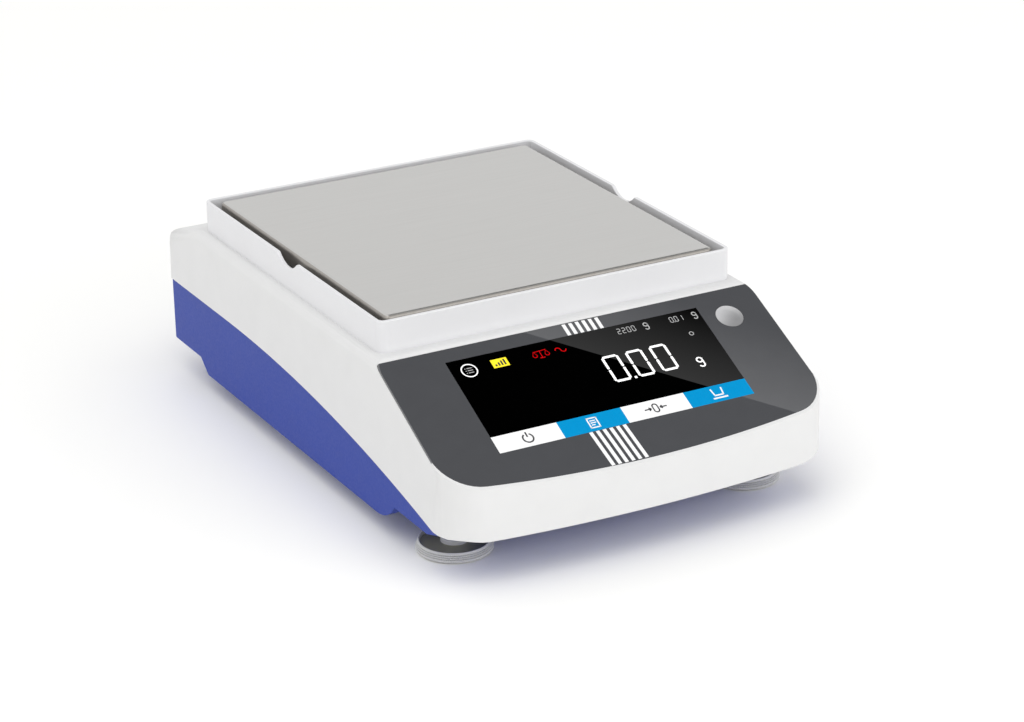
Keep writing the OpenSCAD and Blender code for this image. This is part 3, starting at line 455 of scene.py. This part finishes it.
def flat_ring(x, s, radius, width, start=0.0, sweep=360.0, steps=48):
    """A thin ring on the drawing board, or a part of one that begins at start degrees from the
    right and runs on anticlockwise."""
    bpy.ops.object.select_all(action="DESELECT")
    bpy.ops.mesh.primitive_plane_add(size=1.0, location=(0.0, 0.0, 0.0))
    ring = bpy.context.object
    bpy.ops.object.mode_set(mode="EDIT")
    bpy.ops.mesh.select_all(action="SELECT")
    bpy.ops.mesh.delete(type="ONLY_FACE")
    bpy.ops.mesh.select_all(action="DESELECT")
    sketch = bmesh.from_edit_mesh(ring.data)
    for edge in list(sketch.edges):
        if edge.verts[0].co.x < 0.0 and edge.verts[1].co.x < 0.0:
            edge.select_set(True)
            for k, vert in enumerate(edge.verts):
                vert.co = (radius + (k - 0.5) * width, 0.0, 0.0)
        else:
            edge.tag = True
    bmesh.ops.delete(sketch, geom=[e for e in sketch.edges if e.tag], context="EDGES")
    loose = [v for v in sketch.verts if not v.link_edges]
    bmesh.ops.delete(sketch, geom=loose, context="VERTS")
    bmesh.update_edit_mesh(ring.data)
    bpy.ops.mesh.select_all(action="SELECT")
    bpy.ops.mesh.spin(steps=steps, angle=radians(sweep), center=(0.0, 0.0, 0.0),
                      axis=(0.0, 0.0, 1.0))
    bpy.ops.mesh.select_all(action="SELECT")
    bpy.ops.mesh.remove_doubles(threshold=0.000001)
    sketch = bmesh.from_edit_mesh(ring.data)
    if sum(vert.co.y for vert in sketch.verts) < 0.0:
        for vert in sketch.verts:
            vert.co.y = -vert.co.y
        bmesh.update_edit_mesh(ring.data)
    bpy.ops.mesh.extrude_region_move(TRANSFORM_OT_translate={"value": (0.0, 0.0, print_lift)})
    bpy.ops.mesh.select_all(action="SELECT")
    bpy.ops.mesh.normals_make_consistent(inside=False)
    bpy.ops.object.mode_set(mode="OBJECT")
    ring.rotation_euler = (0.0, 0.0, radians(start))
    ring.location = (x, -s, 0.0)
    return ring


def lay_on_slope(name, parts, finish, lift=0.0):
    """Joins the flat parts and lays them on the slope, lift above its surface."""
    only(*parts)
    bpy.ops.object.transform_apply(location=True, rotation=True, scale=True)
    if len(parts) > 1:
        bpy.ops.object.join()
    mark = bpy.context.object
    mark.name = name
    mark.data.name = name
    board = Matrix.Translation(slope_top) @ Matrix.Rotation(slope_rise, 4, "X")
    mark.matrix_world = board @ Matrix.Translation((0.0, -panel_margin, lift))
    bpy.ops.object.transform_apply(location=True, rotation=True, scale=True)
    mark.data.materials.clear()
    mark.data.materials.append(finish)
    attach(mark, "housing")


white_ink = printed("white_ink", line_white)
upper_lines = [flat_bar(upper_line_x + line_step * k, upper_line_s, line_w, upper_line_h)
               for k in range(6)]
lay_on_slope("panel_lines_upper", upper_lines, white_ink)
lower_lines = [flat_bar(lower_line_x + line_step * k, lower_line_s, line_w, lower_line_h,
                        lower_line_lean) for k in range(6)]
lay_on_slope("panel_lines_lower", lower_lines, white_ink)

# Display window: black glossy glass with four touch keys, two white and two blue, printed on
# its lower edge, and lit digits and small signs behind it.
window_black = (0.0003, 0.0003, 0.0003)
window_finish = start_finish("display_black", window_black, 0.4, shine=0.0)
tint(window_finish, window_black, 0.05, 200.0)
vary_gloss(window_finish, 0.35, 0.45, 500.0)
clear_coat(window_finish, 0.003, 1.5)
refinish(window_finish, "display_window")
window_left, window_right, window_lower = -0.0701, 0.0679, 0.0670
key_names = ("key_power", "key_report", "key_zero", "key_container")
key_w = (window_right - window_left) / len(key_names)
key_h = 0.0101
key_s = window_lower - key_h / 2
key_white, key_blue = (0.88, 0.88, 0.88), (0.0, 0.27, 0.58)
key_white_ink = printed("key_white", key_white, 0.3)
key_blue_ink = printed("key_blue", key_blue, 0.3)
sign_grey = (0.05, 0.05, 0.055)
lit_white, dim_white = (0.95, 0.95, 0.95), (0.42, 0.42, 0.42)
sign_ink = printed("sign_grey", sign_grey, 0.35)
lit = printed("lit_white", lit_white, 0.3, glow=0.25)
dim = printed("dim_white", dim_white, 0.3, glow=0.1)
for k, key_name in enumerate(key_names):
    key = flat_bar(window_left + (k + 0.5) * key_w, key_s, key_w, key_h)
    lay_on_slope(key_name, [key], key_blue_ink if k % 2 else key_white_ink)

# Key signs, printed on the four touch keys: a power ring, a sheet with lines, a nought between
# two arrows and a container on a plate, each made of short bars and rings.
power_x, report_x, zero_x, container_x = -0.0529, -0.0182, 0.0157, 0.0504
sign_s = 0.0620
sign_stroke = 0.0007
power_r, power_stroke, power_bar_h = 0.0026, 0.0008, 0.0030
power_sign = [flat_ring(power_x, sign_s, power_r, power_stroke, start=120.0, sweep=300.0),
              flat_bar(power_x, sign_s - 0.0022, power_stroke, power_bar_h)]
lay_on_slope("sign_power", power_sign, sign_ink, print_lift)
wing_share, wing_lean = 0.42, radians(142.0)


def flat_arrow(x, s, length, width, turn):
    """A small arrow that points along turn."""
    tip = Vector((x + cos(turn) * length / 2, s - sin(turn) * length / 2))
    wing = length * wing_share
    parts = [flat_bar(x, s, length, width, turn)]
    for side in (-1.0, 1.0):
        lean = turn + side * wing_lean
        parts.append(flat_bar(tip.x + cos(lean) * wing / 2, tip.y - sin(lean) * wing / 2,
                              wing, width, lean))
    return parts


nought_r, nought_bend, nought_side_h = 0.0013, 0.0012, 0.0025
arrow_off, arrow_l = 0.0042, 0.0036
zero_sign = [flat_ring(zero_x, sign_s - nought_bend, nought_r, sign_stroke, 0.0, 180.0, 16),
             flat_ring(zero_x, sign_s + nought_bend, nought_r, sign_stroke, 180.0, 180.0, 16),
             flat_bar(zero_x - nought_r, sign_s, sign_stroke, nought_side_h),
             flat_bar(zero_x + nought_r, sign_s, sign_stroke, nought_side_h)]
zero_sign += flat_arrow(zero_x - arrow_off, sign_s, arrow_l, sign_stroke, 0.0)
zero_sign += flat_arrow(zero_x + arrow_off, sign_s, arrow_l, sign_stroke, pi)
lay_on_slope("sign_zero", zero_sign, sign_ink, print_lift)
sheet_side_x, sheet_end_s, sheet_w, sheet_h = 0.0024, 0.0029, 0.0055, 0.0064
sheet_lines = ((0.0, -0.0013, 0.0030), (0.0, 0.0, 0.0030), (-0.0005, 0.0013, 0.0020))
sheet_line_h = 0.0006
report_sign = [flat_bar(report_x + dx, sign_s, sign_stroke, sheet_h)
               for dx in (-sheet_side_x, sheet_side_x)]
report_sign += [flat_bar(report_x, sign_s + ds, sheet_w, sign_stroke)
                for ds in (-sheet_end_s, sheet_end_s)]
report_sign += [flat_bar(report_x + dx, sign_s + ds, w, sheet_line_h)
                for dx, ds, w in sheet_lines]
lay_on_slope("sign_report", report_sign, white_ink, print_lift)
plate_s, plate_w, plate_h = 0.0027, 0.0080, 0.0009
bottom_s, bottom_w = 0.0010, 0.0050
wall_x, wall_s, wall_h, wall_stroke = 0.0026, 0.0011, 0.0044, 0.0008
wall_lean = radians(8.0)
container_sign = [flat_bar(container_x, sign_s + plate_s, plate_w, plate_h),
                  flat_bar(container_x, sign_s + bottom_s, bottom_w, wall_stroke)]
container_sign += [flat_bar(container_x - side * wall_x, sign_s - wall_s, wall_stroke, wall_h,
                            side * wall_lean) for side in (1.0, -1.0)]
lay_on_slope("sign_container", container_sign, white_ink, print_lift)

# Lit digits behind the window: three seven-segment noughts and a point, with small figures for
# capacity and step over them and a unit sign at the right.
segments_of = {"0": "abcdef", "1": "bc", "2": "abged"}
segment_gap, segment_tip = 0.18, 0.34
reading_w, reading_h, reading_stroke = 0.0092, 0.0169, 0.0013
reading_top = 0.0251
figure_w, figure_h, figure_stroke = 0.0019, 0.0036, 0.00035
figure_top, figure_step = 0.0103, 0.0027
figure_unit_s, figure_unit_size = 0.0119, 0.0044


def digit(char, left, top, wide, high, stroke):
    """One seven-segment figure: a top, b and c right, d foot, e and f left, g middle."""
    gap = stroke * segment_gap
    half = (high - stroke) / 2
    run = wide - stroke - 2 * gap
    mid_x, mid_s = left + wide / 2, top + high / 2
    right_x, left_x = left + wide - stroke / 2, left + stroke / 2
    spots = {"a": (mid_x, top + stroke / 2, 0), "g": (mid_x, mid_s, 0),
             "d": (mid_x, top + high - stroke / 2, 0),
             "b": (right_x, mid_s - half / 2, 1), "c": (right_x, mid_s + half / 2, 1),
             "f": (left_x, mid_s - half / 2, 1), "e": (left_x, mid_s + half / 2, 1)}
    parts = []
    for key in segments_of[char]:
        x, s, up = spots[key]
        size = (stroke, half - 2 * gap) if up else (run, stroke)
        parts.append(flat_bar(x, s, *size, tips=stroke * segment_tip))
    return parts


def letter_g(x, s, size):
    """A plain unit sign g: a bowl, a stem and a hook."""
    stroke = size * 0.13
    bowl = size * 0.24
    return [flat_ring(x, s - size * 0.12, bowl, stroke, 0.0, 360.0, 24),
            flat_bar(x + bowl, s + size * 0.06, stroke, size * 0.66),
            flat_ring(x, s + size * 0.36, bowl, stroke, 200.0, 160.0, 16)]


reading = []
for left in (0.0048, 0.0179, 0.0310):
    reading += digit("0", left, reading_top, reading_w, reading_h, reading_stroke)
reading.append(flat_bar(0.0160, 0.0414, reading_stroke, reading_stroke))
lay_on_slope("reading_digits", reading, lit)
lay_on_slope("reading_unit", letter_g(0.0522, 0.0405, 0.0060), lit)
small_figures = []
for row_x, row in ((0.0212, "2200"), (0.0506, "001")):
    for k, char in enumerate(row):
        small_figures += digit(char, row_x + figure_step * k, figure_top, figure_w, figure_h,
                               figure_stroke)
small_figures.append(flat_bar(0.0529, 0.0138, 0.0004, 0.0004))
for unit_x in (0.0372, 0.0646):
    small_figures += letter_g(unit_x, figure_unit_s, figure_unit_size)
small_figures.append(flat_ring(0.0570, 0.0230, 0.0011, 0.0004, 0.0, 360.0, 24))
lay_on_slope("small_figures", small_figures, dim)

# Small lit signs behind the window's upper left: a white ring with a list in it, a yellow
# field with a bar scale, and two red signs, a beam scale and a wave.
list_x, list_s = -0.0609, 0.0156
list_ring_r, list_ring_stroke = 0.0039, 0.0006
list_line_h = 0.0004
lay_on_slope("sign_list_ring", [flat_ring(list_x, list_s, list_ring_r, list_ring_stroke)], lit)
list_sign = []
for ds in (-0.0014, 0.0, 0.0014):
    list_sign.append(flat_bar(list_x - 0.0017, list_s + ds, 0.0005, list_line_h))
    list_sign.append(flat_bar(list_x + 0.0005, list_s + ds, 0.0028, list_line_h))
lay_on_slope("sign_list", list_sign, dim)
field_yellow = (0.85, 0.72, 0.03)
field_x, field_s, field_w, field_h = -0.0443, 0.0150, 0.0085, 0.0053
bar_x, bar_step, bar_w, bar_foot = -0.0024, 0.0016, 0.0009, 0.0017
bar_heights = (0.0012, 0.0021, 0.0029, 0.0036)
lit_yellow = printed("lit_yellow", field_yellow, 0.3, glow=0.2)
lay_on_slope("field_yellow", [flat_bar(field_x, field_s, field_w, field_h)], lit_yellow)
field_bars = [flat_bar(field_x + bar_x + bar_step * k, field_s + bar_foot - h / 2, bar_w, h)
              for k, h in enumerate(bar_heights)]
lay_on_slope("sign_field", field_bars, sign_ink, print_lift)
sign_red = (0.55, 0.0, 0.002)
lit_red = printed("lit_red", sign_red, 0.3, glow=0.1)
beam_x, beam_s, beam_stroke, beam_lean = -0.0224, 0.0152, 0.0004, radians(4.0)
tray_x, tray_s, tray_r = 0.0033, 0.0004, 0.0011
string_x, string_s, string_w, string_l, string_lean = 0.0006, 0.0007, 0.00025, 0.0024, 27.0
beam_sign = [flat_bar(beam_x, beam_s, beam_stroke, 0.0046),
             flat_bar(beam_x, beam_s - 0.0020, 0.0070, beam_stroke, beam_lean),
             flat_bar(beam_x, beam_s + 0.0023, 0.0026, 0.0005)]
for side in (-1, 1):
    beam_sign.append(flat_ring(beam_x + side * tray_x, beam_s + tray_s, tray_r, beam_stroke,
                               180.0, 180.0, 12))
    for lean in (-1, 1):
        beam_sign.append(flat_bar(beam_x + side * tray_x + lean * string_x, beam_s - string_s,
                                  string_w, string_l, radians(string_lean * lean)))
wave_x, wave_s, wave_r, wave_stroke = -0.0117, 0.0152, 0.0014, 0.0005
beam_sign += [flat_ring(wave_x - wave_r, wave_s, wave_r, wave_stroke, 0.0, 180.0, 12),
              flat_ring(wave_x + wave_r, wave_s, wave_r, wave_stroke, 180.0, 180.0, 12)]
lay_on_slope("signs_red", beam_sign, lit_red)

# Spirit level: a turned aluminium cup pressed in a bore of the slope and closed by a low domed
# lens. The lens's silver colour carries painted shade: a gradient on its own coordinates paints
# it lighter at its upper left and darker towards its lower right, as light and shade on the
# dome.
level_painted_light, level_painted_shade = (0.50, 0.50, 0.51), (0.20, 0.20, 0.205)
level_shade_fall, level_reach = (0.45, -0.80, -0.40), 0.9
level_shaded_finish = start_finish("level_lens_painted_shade", level_painted_light, 0.35, shine=0.3)
level_low, level_high = (Vector(corner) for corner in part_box("level_lens"))
level_mid, level_r = (level_low + level_high) / 2, (level_high.x - level_low.x) / 2
level_tree = level_shaded_finish.node_tree
level_place = level_tree.nodes.new("ShaderNodeTexCoord")
level_shift = level_tree.nodes.new("ShaderNodeVectorMath")
level_shift.operation = "SUBTRACT"
level_shift.inputs[1].default_value = level_mid
level_shade_across = level_tree.nodes.new("ShaderNodeVectorMath")
level_shade_across.operation = "DOT_PRODUCT"
level_shade_across.inputs[1].default_value = level_shade_fall
level_shade_span = level_tree.nodes.new("ShaderNodeMapRange")
level_shade_span.interpolation_type = "SMOOTHSTEP"
level_shade_span.inputs["From Min"].default_value = -level_reach * level_r
level_shade_span.inputs["From Max"].default_value = level_reach * level_r
# Painted shade: this ramp runs from the painted light tone to the painted dark tone across the
# lens.
level_shade_tones = level_tree.nodes.new("ShaderNodeValToRGB")
level_shade_tones.color_ramp.elements[0].color = (*level_painted_light, 1.0)
level_shade_tones.color_ramp.elements[1].color = (*level_painted_shade, 1.0)
level_tree.links.new(level_place.outputs["Object"], level_shift.inputs[0])
level_tree.links.new(level_shift.outputs["Vector"], level_shade_across.inputs[0])
level_tree.links.new(level_shade_across.outputs["Value"], level_shade_span.inputs["Value"])
level_tree.links.new(level_shade_span.outputs["Result"], level_shade_tones.inputs["Fac"])
level_tree.links.new(level_shade_tones.outputs["Color"],
                     level_tree.nodes["Principled BSDF"].inputs["Base Color"])
vary_gloss(level_shaded_finish, 0.32, 0.38, 300.0)
clear_coat(level_shaded_finish, 0.05, 1.4)
refinish(level_shaded_finish, "level_lens")
refinish(plated("turned_aluminium", (0.62, 0.63, 0.64), 0.3), "level_vial")

# Display module, circuit boards and sockets: the module's grey frame and the boards with
# their parts are screwed inside; the sockets end in the tub's rear wall.
refinish(moulded("module_grey", (0.05, 0.055, 0.06), 0.5), "display_module")
solder_mask = (0.012, 0.09, 0.035)
track_stretch = (1.0, 0.25, 1.0)
board_finish = start_finish("solder_mask_green", solder_mask, 0.3)
tint(board_finish, solder_mask, 0.2, 350.0, track_stretch)
vary_gloss(board_finish, 0.22, 0.42, 300.0)
raise_grain(board_finish, 900.0, 0.00004, 0.4, track_stretch)
refinish(board_finish, "display_board", "main_board")
refinish(moulded("chip_black", (0.012, 0.012, 0.012), 0.4), "board_parts",
         "position_sensor", "power_inlet")
refinish(plated("nickel_plate", (0.6, 0.59, 0.56), 0.25), "serial_socket")

# Weigh cell: a machined aluminium casting with two sheet steel guides, a lever on a pin, a
# copper coil on a former, and a magnet in an iron pot; it sits on bosses of the tub.
aluminium = (0.66, 0.67, 0.68)
cast = start_finish("machined_aluminium", aluminium, 0.38, metal=1.0)
tint(cast, aluminium, 0.05, 260.0)
vary_gloss(cast, 0.3, 0.48, 220.0, (0.2, 1.0, 1.0))
raise_grain(cast, 900.0, 0.00002, 0.35, (0.15, 1.0, 1.0))
refinish(cast, "cell_base", "load_hanger", "lever", "pan_carrier")
refinish(plated("spring_steel", (0.5, 0.5, 0.51), 0.22), "upper_guide", "lower_guide",
         "coupling_band")
refinish(plated("pot_iron", (0.32, 0.33, 0.35), 0.36), "magnet_pot", "magnet", "pole_cap")
refinish(moulded("former_cream", (0.62, 0.58, 0.44), 0.5), "coil_former")
copper = (0.60, 0.22, 0.08)
turns_stretch = (0.05, 0.05, 6.0)
wound = start_finish("coil_copper", copper, 0.3, metal=1.0)
tint(wound, copper, 0.18, 500.0, turns_stretch)
raise_grain(wound, 500.0, 0.0001, 0.6, turns_stretch)
refinish(wound, "coil")

# Rubber, moulded soft and matt: the collar around the load post, the four buffers that carry
# the pan and the pads under the feet.
rubber_black = (0.022, 0.022, 0.023)
rubber = start_finish("soft_rubber", rubber_black, 0.75, shine=0.3)
tint(rubber, rubber_black, 0.15, 150.0)
raise_grain(rubber, 1800.0, 0.00003, 0.5)
refinish(rubber, "dust_collar", "pan_buffers", "foot_pad_front_left", "foot_pad_front_right",
         "foot_pad_rear_left", "foot_pad_rear_right")

# Weighing pan: one millimetre stainless sheet brushed from side to side, with a rolled edge
# turned down all round; it rests loose on the four buffers. The walls of the rolled edge get a
# darker, browner copy of the steel: painted shade for the dark reflection along the edge.
pan_low, pan_high = (Vector(corner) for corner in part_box("weighing_pan"))
pan_mid, pan_size = (pan_low + pan_high) / 2, pan_high - pan_low
pan_steel, edge_shade_steel = (0.53, 0.525, 0.512), (0.36, 0.34, 0.315)
pan_sheet = 0.001
pan_corner_r = 0.0028
pan_edge_r = 0.0022
shade_walls_below = 0.75
brush_stretch = (0.010, 1.0, 1.0)


def pick_edges(piece, wanted):
    """Selects just the edges for which wanted(lower z, upper z) holds, in edit mode."""
    bpy.ops.mesh.select_all(action="DESELECT")
    sketch = bmesh.from_edit_mesh(piece.data)
    for edge in sketch.edges:
        edge.select_set(wanted(*sorted(vert.co.z for vert in edge.verts)))
    bmesh.update_edit_mesh(piece.data)


bpy.ops.object.select_all(action="DESELECT")
bpy.ops.mesh.primitive_cube_add(size=1.0, location=pan_mid)
pan = bpy.context.object
pan.name = "brushed_pan"
pan.data.name = "brushed_pan"
pan.scale = pan_size
bpy.ops.object.transform_apply(location=True, rotation=True, scale=True)
bpy.ops.object.mode_set(mode="EDIT")
bpy.ops.mesh.select_mode(type="FACE")
bpy.ops.mesh.select_all(action="DESELECT")
sketch = bmesh.from_edit_mesh(pan.data)
for face in sketch.faces:
    face.select_set(face.normal.z < -0.9)
bmesh.update_edit_mesh(pan.data)
bpy.ops.mesh.delete(type="FACE")
bpy.ops.mesh.select_mode(type="EDGE")
pick_edges(pan, lambda low, high: high - low > 0.001)
bpy.ops.mesh.bevel(offset=pan_corner_r, segments=8, profile=0.5, clamp_overlap=False)
pick_edges(pan, lambda low, high: low > pan_high.z - 0.00001)
bpy.ops.mesh.bevel(offset=pan_edge_r, segments=5, profile=0.5, clamp_overlap=False)
bpy.ops.object.mode_set(mode="OBJECT")
only(pan)
thicken = pan.modifiers.new("sheet", "SOLIDIFY")
thicken.thickness = pan_sheet
thicken.offset = -1.0
thicken.use_even_offset = True
bpy.ops.object.modifier_apply(modifier=thicken.name)
smooth(pan)
brushed = start_finish("brushed_stainless", pan_steel, 0.3, metal=1.0)
tint(brushed, pan_steel, 0.02, 2200.0, (0.012, 1.0, 1.0))
vary_gloss(brushed, 0.30, 0.38, 2600.0, brush_stretch)
raise_grain(brushed, 3600.0, 0.000006, 0.3, brush_stretch)
pan.data.materials.append(brushed)
# Painted shade: a darker, browner copy of the same steel for the rolled edge's walls.
folded_shade = start_finish("stainless_painted_shade", edge_shade_steel, 0.4, metal=1.0)
tint(folded_shade, edge_shade_steel, 0.05, 900.0)
vary_gloss(folded_shade, 0.36, 0.46, 1200.0)
pan.data.materials.append(folded_shade)
# Faces that stand steeper than the threshold take the painted shade copy.
for face in pan.data.polygons:
    face.material_index = 1 if abs(face.normal.z) < shade_walls_below else 0
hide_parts("weighing_pan")
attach(pan, "pan")

# Draft ring: a low white wall of painted sheet around the pan, set over a step of the
# housing, with a notch for the fingers in each side.
ring_white = (0.715, 0.715, 0.73)
ring_edge_r = 0.0005
ring_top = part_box("draft_shield")[1][2]
notch_reach = 0.0056
draft_ring = take_solid("draft_shield", "draft_ring")
round_edges(draft_ring, ring_edge_r, 3,
            lambda m, a, b: m.z > ring_top - notch_reach and steep(a) != steep(b))
smooth(draft_ring)
ring_paint = start_finish("white_paint", ring_white, 0.35)
tint(ring_paint, ring_white, 0.008, 70.0)
vary_gloss(ring_paint, 0.3, 0.4, 500.0)
raise_grain(ring_paint, 1400.0, 0.000012, 0.25)
draft_ring.data.materials.append(ring_paint)
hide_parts("draft_shield")
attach(draft_ring, "shield")

# Screw feet: a light grey disc whose sloping rim has three grooves and a fine knurl, on a
# bright threaded stud that turns in a brass insert of the tub. A thin plate in the disc's
# dished top is
# painted dark grey with a warm tint: painted shade for the shadow under the tub, warmed against
# the blue light bounced from it.
foot_grey = (0.56, 0.56, 0.56)
# The dish's dark warm grey is painted shade for the shadow under the tub, not a finish of its
# own.
dish_painted_shade = (0.29, 0.28, 0.20)
stud_steel = (0.62, 0.62, 0.62)
insert_brass = (0.74, 0.56, 0.28)
foot_r = 0.01875
foot_top_r = 0.0173
foot_low, foot_high = 0.0008, 0.0053
rim_start, rim_end = foot_low + 0.0005, foot_high - 0.0005
knurl_teeth = 130
knurl_depth = 0.00035
groove_depth, groove_half = 0.00070, 0.00024
pad_r, pad_z = 0.01535, 0.0018
dish_r, dish_z = 0.0165, 0.0039
stud_r, stud_low, stud_chamfer = 0.0040, dish_z - 0.0002, 0.0006
thread_pitch = 0.00125
thread_depth = 0.0006
slight = 0.0001


def turned_piece(name, columns, profile):
    """Turns a profile of (radius, height) pairs from its lower face to its upper one."""
    bpy.ops.object.select_all(action="DESELECT")
    bpy.ops.mesh.primitive_circle_add(vertices=columns, radius=profile[0][0],
                                      fill_type="NGON", location=(0.0, 0.0, profile[0][1]))
    piece = bpy.context.object
    piece.name = name
    piece.data.name = name
    bpy.ops.object.transform_apply(location=True, rotation=True, scale=True)
    bpy.ops.object.mode_set(mode="EDIT")
    bpy.ops.mesh.select_mode(type="FACE")
    bpy.ops.mesh.select_all(action="SELECT")
    for (r0, z0), (r1, z1) in zip(profile, profile[1:]):
        bpy.ops.mesh.extrude_region_move(TRANSFORM_OT_translate={"value": (0.0, 0.0, z1 - z0)})
        bpy.ops.transform.resize(value=(r1 / r0, r1 / r0, 1.0))
    bpy.ops.mesh.select_all(action="SELECT")
    bpy.ops.mesh.normals_make_consistent(inside=False)
    bpy.ops.object.mode_set(mode="OBJECT")
    return piece


def rim_r(z):
    """Radius of the sloping rim at a height."""
    share = (z - foot_low) / (foot_high - foot_low)
    return foot_r + (foot_top_r - foot_r) * share


def shape_points(piece, scale_at):
    """Draws each point of a turned piece towards the axis by scale_at(radius, angle, z)."""
    sketch = bmesh.new()
    sketch.from_mesh(piece.data)
    for vert in sketch.verts:
        angle = atan2(vert.co.y, vert.co.x) / (2.0 * pi)
        vert.co.xy *= scale_at(hypot(*vert.co.xy), angle, vert.co.z)
    sketch.to_mesh(piece.data)
    sketch.free()


def knurl(radius, angle, z):
    """Every other column of the rim lies a knurl's depth further in."""
    on_the_rim = rim_start - 1e-6 < z < rim_end + 1e-6 and radius > foot_top_r - 0.0004
    if on_the_rim and round(angle * 2 * knurl_teeth) % 2:
        return 1.0 - knurl_depth / foot_r
    return 1.0


def thread(angle, z, stud_top):
    """A groove that climbs by one pitch each turn, from over the disc to the stud's top."""
    if not dish_z + 0.003 < z < stud_top - slight:
        return 1.0
    dip = abs((z / thread_pitch - angle) % 1.0 - 0.5) * 2.0
    return 1.0 - thread_depth * dip / stud_r


band_h = (rim_end - rim_start) / 4
rim_steps = [(rim_r(rim_start), rim_start)]
for k in range(1, 4):
    groove_z = rim_start + k * band_h
    rim_steps += [(rim_r(groove_z - groove_half), groove_z - groove_half),
                  (rim_r(groove_z) - groove_depth, groove_z),
                  (rim_r(groove_z + groove_half), groove_z + groove_half)]
rim_steps.append((rim_r(rim_end), rim_end))
disc_profile = [(0.0060, pad_z), (pad_r, pad_z), (pad_r, foot_low), (foot_r - 0.0005, foot_low)]
disc_profile += rim_steps
disc_profile += [(foot_top_r - 0.0003, foot_high), (dish_r + 0.0002, foot_high),
                 (dish_r, foot_high - 0.0002), (dish_r - 0.0002, dish_z - 0.0004),
                 (0.0068, dish_z - 0.0004), (0.0066, dish_z + 0.0024),
                 (0.0062, dish_z + 0.0028), (0.0044, dish_z + 0.0028)]
shade_dish_profile = [(0.0068, dish_z - 0.0003), (dish_r - 0.0003, dish_z - 0.0003),
                (dish_r - 0.0002, dish_z), (0.0130, dish_z - 0.00005),
                (0.0080, dish_z + 0.0002), (0.0068, dish_z + 0.0005)]
foot_finish = start_finish("foot_grey", foot_grey, 0.36)
tint(foot_finish, foot_grey, 0.03, 250.0)
vary_gloss(foot_finish, 0.32, 0.42, 700.0)
raise_grain(foot_finish, 1800.0, 0.00001, 0.25)
# Painted shade: the dish plate is the same light grey part as the disc, painted dark for
# shadow.
dish_shade_finish = start_finish("foot_shade_dish", dish_painted_shade, 0.34)
tint(dish_shade_finish, dish_painted_shade, 0.05, 300.0)
vary_gloss(dish_shade_finish, 0.28, 0.40, 600.0)
stud_finish = plated("stud_steel", stud_steel, 0.24)
refinish(plated("turned_brass", insert_brass, 0.3), "foot_inserts")
for corner in ("front_left", "front_right", "rear_left", "rear_right"):
    node_name = "foot_screw_" + corner
    low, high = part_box(node_name)
    foot_x, foot_y, stud_high = (low[0] + high[0]) / 2, (low[1] + high[1]) / 2, high[2]
    disc = turned_piece("foot_disc_" + corner, 2 * knurl_teeth, disc_profile)
    shape_points(disc, knurl)
    disc.data.materials.append(foot_finish)
    # The dark plate laid in the dished top carries the painted shade.
    shade_dish = turned_piece("foot_shade_dish_" + corner, 96, shade_dish_profile)
    shade_dish.data.materials.append(dish_shade_finish)
    rings = int((stud_high - stud_low) / thread_pitch * 6)
    stud_run = stud_high - stud_chamfer - stud_low
    stud_profile = [(stud_r, stud_low + stud_run * k / rings) for k in range(rings + 1)]
    stud_profile.append((stud_r - stud_chamfer, stud_high))
    stud = turned_piece("foot_stud_" + corner, 48, stud_profile)
    shape_points(stud, lambda radius, angle, z: thread(angle, z, stud_high))
    stud.data.materials.append(stud_finish)
    for piece, slot in ((disc, "foot_grey"), (shade_dish, "foot_grey"), (stud, "screw_steel")):
        piece.data.transform(Matrix.Translation((foot_x, foot_y, 0.0)))
        smooth(piece, 40.0)
        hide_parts(node_name)
        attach(piece, "screw_" + corner)
